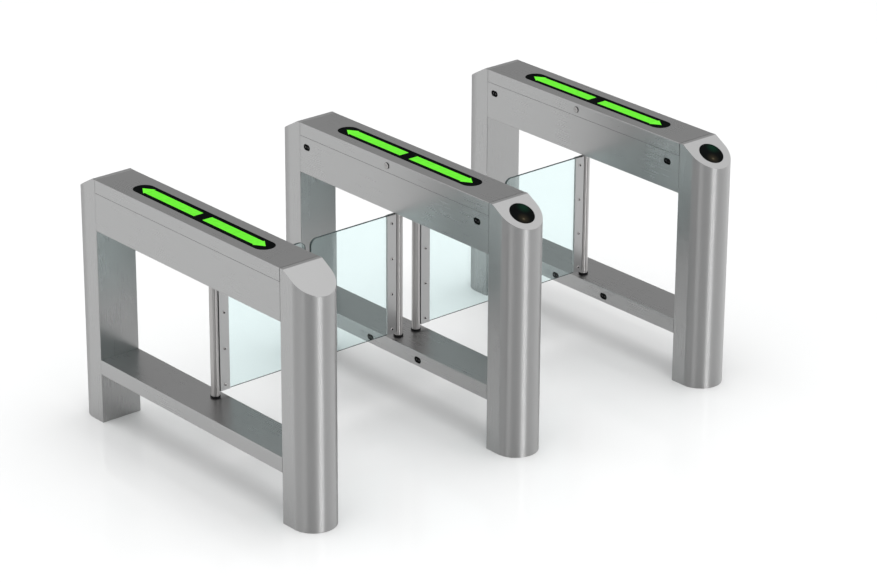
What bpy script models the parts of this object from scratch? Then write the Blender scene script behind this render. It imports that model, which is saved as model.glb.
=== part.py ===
"""Smart turnstile: three bridge pedestals, two walkways and four glass swing wings.

Metres, +Z up. X runs across the walkways, Y along the pedestals with the front (reader) end at -Y.
The origin lies on the floor under the middle of the middle pedestal.
"""

import math
from collections import namedtuple

import bmesh
import bpy
from mathutils import Matrix, Vector

# Pedestals
PEDESTAL_WIDTH = 0.174
PEDESTAL_LENGTH = 1.400
PEDESTAL_HEIGHT = 0.980
LANE_PITCH = 0.959
SHEET = 0.0015
FIT_GAP = 0.0003
OVERRUN = 0.010

# Legs: a half-round column with a flat inner face and a slanted top
LEG_DEPTH = 0.152
SLANT_RUN = 0.134
SLANT_ANGLE = math.radians(30.0)
LEG_ARC_STEPS = 18
BASE_PLATE = 0.006
CABLE_HOLE_RADIUS = 0.024
ANCHOR_RADIUS = 0.0065
ANCHOR_SPREAD = 0.112
GROMMET_RADIUS = 0.006
GROMMET_RISE = 0.060

# Beams between the legs
UPPER_BEAM_DEPTH = 0.202
LOWER_BEAM_TOP = 0.258
LOWER_BEAM_DEPTH = 0.060

# Sensor eyes, as seen in the beam sides
EYE_LENGTH = 0.038
EYE_HEIGHT = 0.025
UPPER_EYE_DROP = 0.091
UPPER_EYE_FRONT_GAP = 0.064
UPPER_EYE_REAR_GAP = 0.041
LOWER_EYE_DROP = 0.034
LOWER_EYE_FRONT_REACH = 0.165
LOWER_EYE_REAR_REACH = 0.119
RAIL_THICKNESS = 0.002
RAIL_HEIGHT = 0.032
RAIL_END = 0.030

# Top cover, hung on a pin at each end inside one long edge
COVER_SKIRT = 0.0505
SEAM = 0.0012
FOLD_RADIUS = 0.002
PIVOT_INSET = 0.010
PIVOT_RISE = 0.025
PIN_RADIUS = 0.003
PIN_REACH = 0.009
PIN_BOSS = 0.004

# Display in the cover
DISPLAY_LENGTH = 0.792
DISPLAY_WIDTH = 0.084
DISPLAY_SHIFT = 0.005
WINDOW_FLANGE = 0.005
WINDOW_SHEET = 0.003
LIGHT_SHEET = 0.008
ARROW_START = 0.025
ARROW_END_GAP = 0.031
ARROW_HEAD_LENGTH = 0.043
ARROW_HEAD_WIDTH = 0.057
ARROW_BAR_WIDTH = 0.044

# Cover lock: a barrel with a hooked cam that turns under a keeper tab
LOCK_SHIFT = 0.028
LOCK_HEAD_RADIUS = 0.0125
LOCK_HEAD_PROUD = 0.0025
LOCK_BARREL_RADIUS = 0.009
LOCK_BARREL_LENGTH = 0.014
KEYWAY_LENGTH = 0.009
KEYWAY_WIDTH = 0.002
KEYWAY_DEPTH = 0.0015
CAM_SHEET = 0.002
CAM_WIDTH = 0.012
CAM_REACH = 0.034
CAM_HOOK = 0.008
KEEPER_DROP = 0.0015
KEEPER_WIDTH = 0.008
KEEPER_REACH = 0.008

# Readers in the slanted leg tops
READER_RADIUS = 0.0495
READER_DOWN_SLOPE = 0.075
READER_FLANGE = 0.004
READER_SHEET = 0.003
READER_MODULE = 0.060
READER_MODULE_DEPTH = 0.018

# Wings: a post with a welded back plate, a clamp strip and a glass panel
WING_SHIFT = 0.012
WING_GAP = 0.025
POST_RADIUS = 0.016
POST_END_GAP = 0.0012
SPINDLE_RADIUS = 0.009
SPINDLE_LENGTH = 0.040
CLAMP_WIDTH = 0.044
CLAMP_CLEAR = 0.0015
CLAMP_SHEET = 0.004
CLAMP_CHAMFER = 0.0008
SCREW_BOTTOM_INSET = 0.0216
SCREW_TOP_INSET = 0.0324
SCREW_COUNT = 4
SCREW_HOLE_RADIUS = 0.0033
GLASS_THICKNESS = 0.010
GLASS_TOP_GAP = 0.016
GLASS_BOTTOM_GAP = 0.019
GLASS_CORNER = 0.028
GLASS_HOLE_RADIUS = 0.006

# Lower bush under each post
BUSH_COLLAR_RADIUS = 0.019
BUSH_COLLAR = 0.006
BUSH_RADIUS = 0.013
BUSH_DEPTH = 0.022

# Gearmotor above each post
GEARBOX_SIDE = 0.060
GEARBOX_HEIGHT = 0.056
GEARBOX_CORNER = 0.006
MOTOR_FLANGE_SIDE = 0.070
MOTOR_FLANGE_HEIGHT = 0.006
MOTOR_RADIUS = 0.028
MOTOR_HEIGHT = 0.056
ENCODER_RADIUS = 0.021
ENCODER_HEIGHT = 0.012
PLUG_WIDTH = 0.018
PLUG_HEIGHT = 0.014
PLUG_REACH = 0.010

# Control board on its stand-offs
BOARD_LENGTH = 0.230
BOARD_WIDTH = 0.120
BOARD_SHEET = 0.0016
BOARD_END_GAP = 0.133
STANDOFF_RADIUS = 0.004
STANDOFF_HEIGHT = 0.012
STANDOFF_INSET = 0.010
SUPPLY_HEIGHT = 0.042
RELAY_HEIGHT = 0.018
TERMINAL_HEIGHT = 0.012
PART_SINK = 0.0006
SUPPLY_SHARES = (0.06, 0.46, 0.10, 0.90)
RELAY_SHARES = (0.54, 0.94, 0.52, 0.80)
TERMINAL_SHARES = (0.54, 0.94, 0.12, 0.26)

# Sides of the round solids
BIG_ROUND_SIDES = 28
ROUND_SIDES = 20
SMALL_ROUND_SIDES = 12
GROMMET_SIDES = 10
SCREW_SIDES = 8
HIDDEN_SIDES = 16
EYE_END_STEPS = 5
DISPLAY_END_STEPS = 8
GLASS_CORNER_STEPS = 5
FOLD_STEPS = 2
SMOOTH_ANGLE = math.radians(35.0)

# Sizes worked out from the ones above
HALF_WIDTH = PEDESTAL_WIDTH / 2
LEG_FACE = PEDESTAL_LENGTH / 2 - LEG_DEPTH
ARC_CENTRE = PEDESTAL_LENGTH / 2 - HALF_WIDTH
SLANT_TOP = PEDESTAL_LENGTH / 2 - SLANT_RUN
BEAM_END = LEG_FACE - FIT_GAP
UPPER_BEAM_BOTTOM = PEDESTAL_HEIGHT - UPPER_BEAM_DEPTH
LOWER_BEAM_BOTTOM = LOWER_BEAM_TOP - LOWER_BEAM_DEPTH
COVER_BOTTOM = PEDESTAL_HEIGHT - COVER_SKIRT
BEAM_RIM = COVER_BOTTOM - SEAM
COVER_END = LEG_FACE - SEAM
COVER_UNDERSIDE = PEDESTAL_HEIGHT - SHEET
PIVOT_X = HALF_WIDTH - PIVOT_INSET
PIVOT_Z = COVER_BOTTOM + PIVOT_RISE
LOCK_Z = PEDESTAL_HEIGHT - COVER_SKIRT / 2
ARROW_TIP = DISPLAY_LENGTH / 2 - ARROW_END_GAP
BOARD_FRONT = BOARD_END_GAP - LEG_FACE
UPPER_EYES = (UPPER_EYE_FRONT_GAP - LEG_FACE, LEG_FACE - UPPER_EYE_REAR_GAP)
LOWER_EYES = (WING_SHIFT - LOWER_EYE_FRONT_REACH, WING_SHIFT + LOWER_EYE_REAR_REACH)
UPPER_EYE_Z = PEDESTAL_HEIGHT - UPPER_EYE_DROP
LOWER_EYE_Z = LOWER_BEAM_TOP - LOWER_EYE_DROP
POST_X = PEDESTAL_WIDTH / 4
POST_BOTTOM = LOWER_BEAM_TOP + BUSH_COLLAR + 2 * FIT_GAP
POST_TOP = UPPER_BEAM_BOTTOM - POST_END_GAP
GLASS_BOTTOM = LOWER_BEAM_TOP + GLASS_BOTTOM_GAP
GLASS_TOP = UPPER_BEAM_BOTTOM - GLASS_TOP_GAP
WING_TIP = (LANE_PITCH - WING_GAP) / 2
CLAMP_START = POST_RADIUS + CLAMP_CLEAR
CLAMP_END = CLAMP_START + CLAMP_WIDTH
CLAMP_FACE = GLASS_THICKNESS / 2 + FIT_GAP
MOTOR_FLOOR = UPPER_BEAM_BOTTOM + SHEET + FIT_GAP

Pedestal = namedtuple("Pedestal", "name place hinge lanes readers")
PEDESTALS = (
    Pedestal("left", -1, -1, {1: "left"}, ("rear",)),
    Pedestal("middle", 0, 1, {-1: "middle_left", 1: "middle_right"}, ("front", "rear")),
    Pedestal("right", 1, 1, {-1: "right"}, ("front",)),
)
ENDS = {"front": -1, "rear": 1}

# Finishes: colour, metallic, roughness, glow
FINISHES = {
    "steel": ((0.56, 0.56, 0.55), 1.0, 0.34, 0.0),
    "dark_steel": ((0.32, 0.32, 0.33), 1.0, 0.45, 0.0),
    "black_glass": ((0.008, 0.009, 0.009), 0.0, 0.08, 0.0),
    "black_plastic": ((0.015, 0.015, 0.016), 0.0, 0.45, 0.0),
    "green_light": ((0.10, 0.85, 0.04), 0.0, 0.30, 2.0),
    "clear_glass": ((0.80, 0.93, 0.93), 0.0, 0.03, 0.0),
    "board_green": ((0.02, 0.16, 0.06), 0.0, 0.50, 0.0),
    "chrome": ((0.78, 0.78, 0.80), 1.0, 0.15, 0.0),
}


def clear_scene():
    """Empty the file of the objects that a new one starts with."""
    for item in list(bpy.data.objects):
        bpy.data.objects.remove(item, do_unlink=True)


def finish_material(name, finish):
    """A Principled material for one named piece."""
    colour, metallic, roughness, glow = FINISHES[finish]
    material = bpy.data.materials.new(name)
    material.use_nodes = True
    shader = material.node_tree.nodes["Principled BSDF"]
    shader.inputs["Base Color"].default_value = (*colour, 1.0)
    shader.inputs["Metallic"].default_value = metallic
    shader.inputs["Roughness"].default_value = roughness
    shader.inputs["Emission Color"].default_value = (*colour, 1.0)
    shader.inputs["Emission Strength"].default_value = glow
    if finish == "clear_glass":
        shader.inputs["Transmission Weight"].default_value = 1.0
    return material


def axis_marker(name, place, parent=None):
    """An empty that carries the pieces of one pedestal or one moving body."""
    marker = bpy.data.objects.new(name, None)
    bpy.context.collection.objects.link(marker)
    marker.parent = parent
    marker.location = place
    return marker


# Outlines: closed lists of two coordinates


def arc(centre, radius, start, end, steps):
    """Points along an arc, both ends included."""
    points = []
    for step in range(steps + 1):
        angle = start + (end - start) * step / steps
        points.append((centre[0] + radius * math.cos(angle), centre[1] + radius * math.sin(angle)))
    return points


def circle(radius, sides, centre=(0, 0)):
    """A full circle."""
    return arc(centre, radius, 0, 2 * math.pi, sides)[:-1]


def rectangle(low, high):
    """A rectangle from its lowest to its highest corner."""
    return [(low[0], low[1]), (high[0], low[1]), (high[0], high[1]), (low[0], high[1])]


def stadium(length, width, centre, steps):
    """A slot with round ends, long along its first coordinate."""
    radius = width / 2
    reach = length / 2 - radius
    right = arc((centre[0] + reach, centre[1]), radius, -math.pi / 2, math.pi / 2, steps)
    left = arc((centre[0] - reach, centre[1]), radius, math.pi / 2, 3 * math.pi / 2, steps)
    return right + left


def chamfered_square(side, corner):
    """A square with cut corners."""
    half = side / 2
    inner = half - corner
    return [(half, -inner), (half, inner), (inner, half), (-inner, half),
            (-half, inner), (-half, -inner), (-inner, -half), (inner, -half)]


# Solids: each is a Blender object that is not yet named or finished


def solid_from(mesh_builder):
    """Wrap a bmesh in an object with its faces pointing out."""
    bmesh.ops.recalc_face_normals(mesh_builder, faces=mesh_builder.faces)
    mesh = bpy.data.meshes.new("solid")
    mesh_builder.to_mesh(mesh)
    mesh_builder.free()
    item = bpy.data.objects.new("solid", mesh)
    bpy.context.collection.objects.link(item)
    return item


def prism(outline, low, high, along="z"):
    """A flat outline drawn out between two levels of one axis."""
    builder = bmesh.new()
    corners = []
    for first, second in outline:
        place = {"x": (low, first, second), "y": (first, low, second), "z": (first, second, low)}[along]
        corners.append(builder.verts.new(place))
    face = builder.faces.new(corners)
    drawn = bmesh.ops.extrude_face_region(builder, geom=[face])
    moved = [part for part in drawn["geom"] if isinstance(part, bmesh.types.BMVert)]
    travel = Vector({"x": (1, 0, 0), "y": (0, 1, 0), "z": (0, 0, 1)}[along]) * (high - low)
    bmesh.ops.translate(builder, verts=moved, vec=travel)
    return solid_from(builder)


def block(low, high):
    """A box from its lowest to its highest corner."""
    return prism(rectangle(low[:2], high[:2]), low[2], high[2])


def rod(radius, sides, centre, low, high, along="z"):
    """A round bar along one axis."""
    return prism(circle(radius, sides, centre), low, high, along)


def combine(item, others, operation="UNION"):
    """Join, or with DIFFERENCE cut, solids in one exact Boolean, and use the helpers up."""
    helpers = bpy.data.collections.new("helpers")
    bpy.context.scene.collection.children.link(helpers)
    for other in others:
        helpers.objects.link(other)
    change = item.modifiers.new("shape", "BOOLEAN")
    change.operation = operation
    change.solver = "EXACT"
    change.operand_type = "COLLECTION"
    change.collection = helpers
    bpy.context.view_layer.update()
    evaluated = item.evaluated_get(bpy.context.evaluated_depsgraph_get())
    shaped = bpy.data.meshes.new_from_object(evaluated)
    item.modifiers.clear()
    item.data = shaped
    for other in others:
        bpy.data.objects.remove(other, do_unlink=True)
    bpy.data.collections.remove(helpers)
    return item


def carve(item, cutters):
    """Cut solids out of a solid."""
    return combine(item, cutters, "DIFFERENCE")


def finish_piece(item, name, finish, parent, origin=(0, 0, 0)):
    """Name a solid, give it its material and set its origin, in the frame of its parent."""
    item.name = name
    item.data.name = name
    item.data.transform(Matrix.Translation(-Vector(origin)))
    item.data.materials.clear()
    item.data.materials.append(finish_material(name, finish))
    item.data.shade_smooth()
    item.data.set_sharp_from_angle(angle=SMOOTH_ANGLE)
    item.parent = parent
    item.location = (0, 0, 0)
    return item


# Legs and readers


def leg_outline(inset, end):
    """The leg seen from above: flat inner face, straight sides and a half-round outer side."""
    radius = HALF_WIDTH - inset
    face = LEG_FACE + inset
    curve = arc((0, ARC_CENTRE), radius, 0, math.pi, LEG_ARC_STEPS)
    points = [(radius, face)] + curve + [(-radius, face)]
    return [(x, y * end) for x, y in points]


def slant_wedge(drop, end):
    """What the slanted top takes off, its sloping face lowered by a sheet where drop asks."""
    rise = OVERRUN * math.tan(SLANT_ANGLE)
    high = PEDESTAL_HEIGHT + rise - drop
    reach = SLANT_TOP + SLANT_RUN + OVERRUN
    low = PEDESTAL_HEIGHT - (SLANT_RUN + OVERRUN) * math.tan(SLANT_ANGLE) - drop
    outline = [(SLANT_TOP - OVERRUN, high), (reach, low), (reach, high)]
    outline = [(y * end, z) for y, z in outline]
    return prism(outline, -HALF_WIDTH - OVERRUN, HALF_WIDTH + OVERRUN, "x")


def tilt_to_slant(item, end):
    """Move a solid drawn about the Z axis on to the slanted face, at the reader's place."""
    y = SLANT_TOP + READER_DOWN_SLOPE * math.cos(SLANT_ANGLE)
    z = PEDESTAL_HEIGHT - READER_DOWN_SLOPE * math.sin(SLANT_ANGLE)
    turn = Matrix.Rotation(-SLANT_ANGLE * end, 4, "X")
    item.data.transform(Matrix.Translation((0, y * end, z)) @ turn)
    return item


def make_leg(pedestal, frame, end_name):
    """A folded steel column on a base plate, hollow, with its holes."""
    end = ENDS[end_name]
    void = prism(leg_outline(SHEET, end), BASE_PLATE, PEDESTAL_HEIGHT - SHEET)
    carve(void, [slant_wedge(SHEET / math.cos(SLANT_ANGLE), end)])
    low, high = sorted(((LEG_FACE - OVERRUN) * end, (LEG_FACE + SHEET + OVERRUN) * end))
    grommets = (LOWER_BEAM_TOP - LOWER_BEAM_DEPTH / 2, UPPER_BEAM_BOTTOM + GROMMET_RISE)
    pin_place = (pedestal.hinge * PIVOT_X, PIVOT_Z)
    cutters = [
        slant_wedge(0, end),
        void,
        rod(CABLE_HOLE_RADIUS, HIDDEN_SIDES, (0, ARC_CENTRE * end), -OVERRUN, BASE_PLATE + OVERRUN),
        rod(PIN_RADIUS + FIT_GAP, SMALL_ROUND_SIDES, pin_place, low, high, "y"),
    ]
    cutters += [rod(GROMMET_RADIUS, GROMMET_SIDES, (0, height), low, high, "y") for height in grommets]
    for side in (-1, 1):
        centre = (side * ANCHOR_SPREAD / 2, ARC_CENTRE * end)
        cutters.append(rod(ANCHOR_RADIUS, SMALL_ROUND_SIDES, centre, -OVERRUN, BASE_PLATE + OVERRUN))
    if end_name in pedestal.readers:
        hole = rod(READER_RADIUS, BIG_ROUND_SIDES, (0, 0), -OVERRUN, OVERRUN)
        cutters.append(tilt_to_slant(hole, end))
    leg = carve(prism(leg_outline(0, end), 0, PEDESTAL_HEIGHT), cutters)
    finish_piece(leg, f"{pedestal.name}_{end_name}_leg", "steel", frame)


def make_reader(pedestal, frame, end_name):
    """A round black window, its flange under the sheet and the module behind it."""
    flange_top = -SHEET - FIT_GAP
    flange_bottom = flange_top - READER_SHEET
    reader = rod(READER_RADIUS - FIT_GAP, BIG_ROUND_SIDES, (0, 0), flange_bottom, 0)
    flange = rod(READER_RADIUS + READER_FLANGE, BIG_ROUND_SIDES, (0, 0), flange_bottom, flange_top)
    half = READER_MODULE / 2
    low = flange_bottom - READER_MODULE_DEPTH
    module = block((-half, -half, low), (half, half, flange_bottom + PART_SINK))
    combine(reader, [flange, module])
    tilt_to_slant(reader, ENDS[end_name])
    finish_piece(reader, f"{pedestal.name}_{end_name}_reader", "black_glass", frame)


# Beams and sensor bars


def eye_places(level):
    """Front and rear place and height of the sensor eyes of one beam."""
    if level == "upper":
        return UPPER_EYES, UPPER_EYE_Z
    return LOWER_EYES, LOWER_EYE_Z


def eye_solids(side, level, clearance, low, high):
    """Oval solids through a beam's side wall, for its holes or its lenses."""
    places, height = eye_places(level)
    near, far = sorted((side * low, side * high))
    length = EYE_LENGTH - 2 * clearance
    width = EYE_HEIGHT - 2 * clearance
    return [prism(stadium(length, width, (y, height), EYE_END_STEPS), near, far, "x") for y in places]


def make_upper_beam(pedestal, frame):
    """An open steel channel with eye holes, spindle holes and the lock's keeper tab."""
    inside = HALF_WIDTH - SHEET
    beam = block((-HALF_WIDTH, -BEAM_END, UPPER_BEAM_BOTTOM), (HALF_WIDTH, BEAM_END, BEAM_RIM))
    floor = UPPER_BEAM_BOTTOM + SHEET
    end = BEAM_END + OVERRUN
    cutters = [block((-inside, -end, floor), (inside, end, BEAM_RIM + OVERRUN))]
    for side in pedestal.lanes:
        cutters += eye_solids(side, "upper", 0, inside - OVERRUN, HALF_WIDTH + OVERRUN)
        centre = (side * POST_X, WING_SHIFT)
        cutters.append(rod(POST_RADIUS, HIDDEN_SIDES, centre, UPPER_BEAM_BOTTOM - OVERRUN, floor + OVERRUN))
    carve(beam, cutters)
    lock_side = -pedestal.hinge
    near, far = sorted((lock_side * (inside - KEEPER_REACH), lock_side * (HALF_WIDTH - SHEET / 2)))
    half = KEEPER_WIDTH / 2
    keeper_top = BEAM_RIM - KEEPER_DROP
    keeper = block((near, LOCK_SHIFT - half, keeper_top - SHEET), (far, LOCK_SHIFT + half, keeper_top))
    combine(beam, [keeper])
    finish_piece(beam, f"{pedestal.name}_upper_beam", "steel", frame)


def make_lower_beam(pedestal, frame):
    """A rectangular tube with eye holes and a hole for each bush."""
    inside = HALF_WIDTH - SHEET
    end = BEAM_END + OVERRUN
    beam = block((-HALF_WIDTH, -BEAM_END, LOWER_BEAM_BOTTOM), (HALF_WIDTH, BEAM_END, LOWER_BEAM_TOP))
    cutters = [block((-inside, -end, LOWER_BEAM_BOTTOM + SHEET), (inside, end, LOWER_BEAM_TOP - SHEET))]
    for side in pedestal.lanes:
        cutters += eye_solids(side, "lower", 0, inside - OVERRUN, HALF_WIDTH + OVERRUN)
        centre = (side * POST_X, WING_SHIFT)
        low = LOWER_BEAM_TOP - SHEET - OVERRUN
        cutters.append(rod(BUSH_RADIUS + FIT_GAP, HIDDEN_SIDES, centre, low, LOWER_BEAM_TOP + OVERRUN))
    carve(beam, cutters)
    finish_piece(beam, f"{pedestal.name}_lower_beam", "steel", frame)


def make_sensor_bar(pedestal, frame, side, level):
    """A bar behind a beam's wall with two oval lenses that fill the wall's holes."""
    (front, rear), height = eye_places(level)
    outer = HALF_WIDTH - SHEET - FIT_GAP
    inner = outer - RAIL_THICKNESS
    near, far = sorted((side * inner, side * outer))
    half = RAIL_HEIGHT / 2
    bar = block((near, front - RAIL_END, height - half), (far, rear + RAIL_END, height + half))
    middle = inner + RAIL_THICKNESS / 2
    combine(bar, eye_solids(side, level, FIT_GAP, middle, HALF_WIDTH))
    finish_piece(bar, f"{pedestal.lanes[side]}_{level}_sensor_bar", "black_plastic", frame)


# Cover with its display and lock


def cover_profile():
    """The cover seen along its length: a box with its two top folds rounded."""
    middle = PEDESTAL_HEIGHT - FOLD_RADIUS
    reach = HALF_WIDTH - FOLD_RADIUS
    right = arc((reach, middle), FOLD_RADIUS, 0, math.pi / 2, FOLD_STEPS)
    left = arc((-reach, middle), FOLD_RADIUS, math.pi / 2, math.pi, FOLD_STEPS)
    return [(-HALF_WIDTH, COVER_BOTTOM), (HALF_WIDTH, COVER_BOTTOM)] + right + left


def display_outline(margin):
    """The display's slot, seen from above, grown by a margin."""
    length = DISPLAY_LENGTH + 2 * margin
    width = DISPLAY_WIDTH + 2 * margin
    return [(x, y) for y, x in stadium(length, width, (DISPLAY_SHIFT, 0), DISPLAY_END_STEPS)]


def arrow_outline(end, inset):
    """One arrow, seen from above, pointing to the front or the rear end, shrunk by an inset."""
    bar = ARROW_BAR_WIDTH / 2 - inset
    head = ARROW_HEAD_WIDTH / 2 - 2 * inset
    start = ARROW_START + inset
    shoulder = ARROW_TIP - ARROW_HEAD_LENGTH + inset
    tip = ARROW_TIP - 2 * inset
    right = [(bar, start), (bar, shoulder), (head, shoulder)]
    points = right + [(0, tip)] + [(-x, y) for x, y in reversed(right)]
    return [(x, DISPLAY_SHIFT + y * end) for x, y in points]


def make_top_cover(pedestal, frame, origin):
    """A folded tray, upside down, with the display slot, the lock hole and a pivot pin at each end."""
    inside = HALF_WIDTH - SHEET
    end_inside = COVER_END - SHEET
    cover = prism(cover_profile(), -COVER_END, COVER_END, "y")
    void = block((-inside, -end_inside, COVER_BOTTOM - OVERRUN), (inside, end_inside, COVER_UNDERSIDE))
    slot = prism(display_outline(0), COVER_UNDERSIDE - OVERRUN, PEDESTAL_HEIGHT + OVERRUN)
    near, far = sorted((-pedestal.hinge * (inside - OVERRUN), -pedestal.hinge * (HALF_WIDTH + OVERRUN)))
    barrel_hole = rod(LOCK_BARREL_RADIUS + FIT_GAP, HIDDEN_SIDES, (LOCK_SHIFT, LOCK_Z), near, far, "x")
    carve(cover, [void, slot, barrel_hole])
    pins = []
    for end in ENDS.values():
        low, high = sorted((end * (end_inside - PIN_BOSS), end * (COVER_END + PIN_REACH)))
        pins.append(rod(PIN_RADIUS, SMALL_ROUND_SIDES, (pedestal.hinge * PIVOT_X, PIVOT_Z), low, high, "y"))
    combine(cover, pins)
    finish_piece(cover, f"{pedestal.name}_top_cover", "steel", frame, origin)


def make_display_window(pedestal, frame, origin):
    """A black window, flush in the cover, with a flange below it and an opening for each arrow."""
    flange_top = COVER_UNDERSIDE - FIT_GAP
    flange_bottom = flange_top - WINDOW_SHEET
    window = prism(display_outline(-FIT_GAP), flange_bottom, PEDESTAL_HEIGHT)
    combine(window, [prism(display_outline(WINDOW_FLANGE), flange_bottom, flange_top)])
    low = flange_bottom - OVERRUN
    carve(window, [prism(arrow_outline(end, 0), low, PEDESTAL_HEIGHT + OVERRUN) for end in ENDS.values()])
    finish_piece(window, f"{pedestal.name}_display_window", "black_glass", frame, origin)


def make_arrow_light(pedestal, frame, origin):
    """A light board under the window with two arrows that stand up into its openings."""
    top = COVER_UNDERSIDE - FIT_GAP - WINDOW_SHEET - FIT_GAP
    board = prism(display_outline(WINDOW_FLANGE), top - LIGHT_SHEET, top)
    arrows = [prism(arrow_outline(end, FIT_GAP), top - PART_SINK, PEDESTAL_HEIGHT) for end in ENDS.values()]
    combine(board, arrows)
    finish_piece(board, f"{pedestal.name}_arrow_light", "green_light", frame, origin)


def make_cover_lock(pedestal, frame, origin):
    """A key lock in the skirt. Free, its cam points along the cover. Turned, it hooks under the keeper."""
    side = -pedestal.hinge
    axis = (LOCK_SHIFT, LOCK_Z)
    outer = HALF_WIDTH + FIT_GAP
    cam_outer = HALF_WIDTH - SHEET - LOCK_BARREL_LENGTH + CAM_SHEET
    spans = {
        "head": (outer, outer + LOCK_HEAD_PROUD),
        "barrel": (cam_outer - CAM_SHEET / 2, outer + LOCK_HEAD_PROUD / 2),
        "cam": (cam_outer - CAM_SHEET, cam_outer),
        "hook": (cam_outer - CAM_SHEET / 2, cam_outer + CAM_HOOK),
        "keyway": (outer + LOCK_HEAD_PROUD - KEYWAY_DEPTH, outer + LOCK_HEAD_PROUD + OVERRUN),
    }
    spans = {part: sorted((side * low, side * high)) for part, (low, high) in spans.items()}
    half = CAM_WIDTH / 2
    tip = LOCK_SHIFT + CAM_REACH
    lock = rod(LOCK_HEAD_RADIUS, ROUND_SIDES, axis, *spans["head"], "x")
    barrel = rod(LOCK_BARREL_RADIUS, HIDDEN_SIDES, axis, *spans["barrel"], "x")
    cam = prism(rectangle((LOCK_SHIFT - half, LOCK_Z - half), (tip, LOCK_Z + half)), *spans["cam"], "x")
    hook = prism(rectangle((tip - CAM_SHEET, LOCK_Z - half), (tip, LOCK_Z + half)), *spans["hook"], "x")
    combine(lock, [barrel, cam, hook])
    keyway = prism(stadium(KEYWAY_LENGTH, KEYWAY_WIDTH, axis, EYE_END_STEPS), *spans["keyway"], "x")
    carve(lock, [keyway])
    finish_piece(lock, f"{pedestal.name}_cover_lock", "chrome", frame, origin)


# Control board


def board_part(shares, base, height):
    """A box on the control board, placed by shares of the board's length and width."""
    start, stop, left, right = shares
    y_low, y_high = BOARD_FRONT + start * BOARD_LENGTH, BOARD_FRONT + stop * BOARD_LENGTH
    x_low, x_high = left * BOARD_WIDTH - BOARD_WIDTH / 2, right * BOARD_WIDTH - BOARD_WIDTH / 2
    return block((x_low, y_low, base - PART_SINK), (x_high, y_high, base + height))


def make_control_board(pedestal, frame):
    """A circuit board on stand-offs, with power supply, relays and terminals."""
    floor = UPPER_BEAM_BOTTOM + SHEET + FIT_GAP
    underside = floor + STANDOFF_HEIGHT
    top = underside + BOARD_SHEET
    half_width = BOARD_WIDTH / 2
    rear = BOARD_FRONT + BOARD_LENGTH
    board = block((-half_width, BOARD_FRONT, underside), (half_width, rear, top))
    parts = [
        board_part(SUPPLY_SHARES, top, SUPPLY_HEIGHT),
        board_part(RELAY_SHARES, top, RELAY_HEIGHT),
        board_part(TERMINAL_SHARES, top, TERMINAL_HEIGHT),
    ]
    for x in (STANDOFF_INSET - half_width, half_width - STANDOFF_INSET):
        for y in (BOARD_FRONT + STANDOFF_INSET, rear - STANDOFF_INSET):
            parts.append(rod(STANDOFF_RADIUS, SMALL_ROUND_SIDES // 2, (x, y), floor, underside + PART_SINK))
    combine(board, parts)
    finish_piece(board, f"{pedestal.name}_control_board", "board_green", frame)


# Wings and their drives


def screw_heights():
    """Heights of the clamp screws, evenly spaced along the glass."""
    first = GLASS_BOTTOM + SCREW_BOTTOM_INSET
    pitch = (GLASS_TOP - SCREW_TOP_INSET - first) / (SCREW_COUNT - 1)
    return [first + pitch * index for index in range(SCREW_COUNT)]


def screw_holes(side, radius):
    """Rods across the wing, for the clamp screws."""
    x = side * (CLAMP_START + CLAMP_END) / 2
    reach = CLAMP_FACE + CLAMP_SHEET + OVERRUN
    return [rod(radius, SCREW_SIDES, (x, z), -reach, reach, "y") for z in screw_heights()]


def clamp_outline(start, side, face):
    """A clamp plate seen from above, with its four long edges taken off."""
    near = face + CLAMP_SHEET * (1 if face > 0 else -1)
    low, high = sorted((face, near))
    cut = CLAMP_CHAMFER
    points = [(start + cut, low), (CLAMP_END - cut, low), (CLAMP_END, low + cut), (CLAMP_END, high - cut),
              (CLAMP_END - cut, high), (start + cut, high), (start, high - cut), (start, low + cut)]
    return [(side * x, y) for x, y in points]


def make_wing_post(name, axis, side):
    """A round post with spindles at both ends and the welded back plate of the clamp."""
    post = rod(POST_RADIUS, ROUND_SIDES, (0, 0), POST_BOTTOM, POST_TOP)
    upper = rod(SPINDLE_RADIUS, HIDDEN_SIDES, (0, 0), POST_TOP - SPINDLE_LENGTH, POST_TOP + SPINDLE_LENGTH)
    lower_end = LOWER_BEAM_TOP - BUSH_DEPTH
    lower = rod(SPINDLE_RADIUS, HIDDEN_SIDES, (0, 0), lower_end, POST_BOTTOM + SPINDLE_LENGTH)
    plate = prism(clamp_outline(POST_RADIUS / 2, side, CLAMP_FACE), GLASS_BOTTOM, GLASS_TOP)
    carve(plate, screw_holes(side, SCREW_HOLE_RADIUS))
    combine(post, [upper, lower, plate])
    finish_piece(post, f"{name}_wing_post", "steel", axis)


def make_clamp_strip(name, axis, side):
    """The removable strip that holds the glass from the front."""
    strip = prism(clamp_outline(CLAMP_START, side, -CLAMP_FACE), GLASS_BOTTOM, GLASS_TOP)
    carve(strip, screw_holes(side, SCREW_HOLE_RADIUS))
    finish_piece(strip, f"{name}_clamp_strip", "steel", axis)


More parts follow.
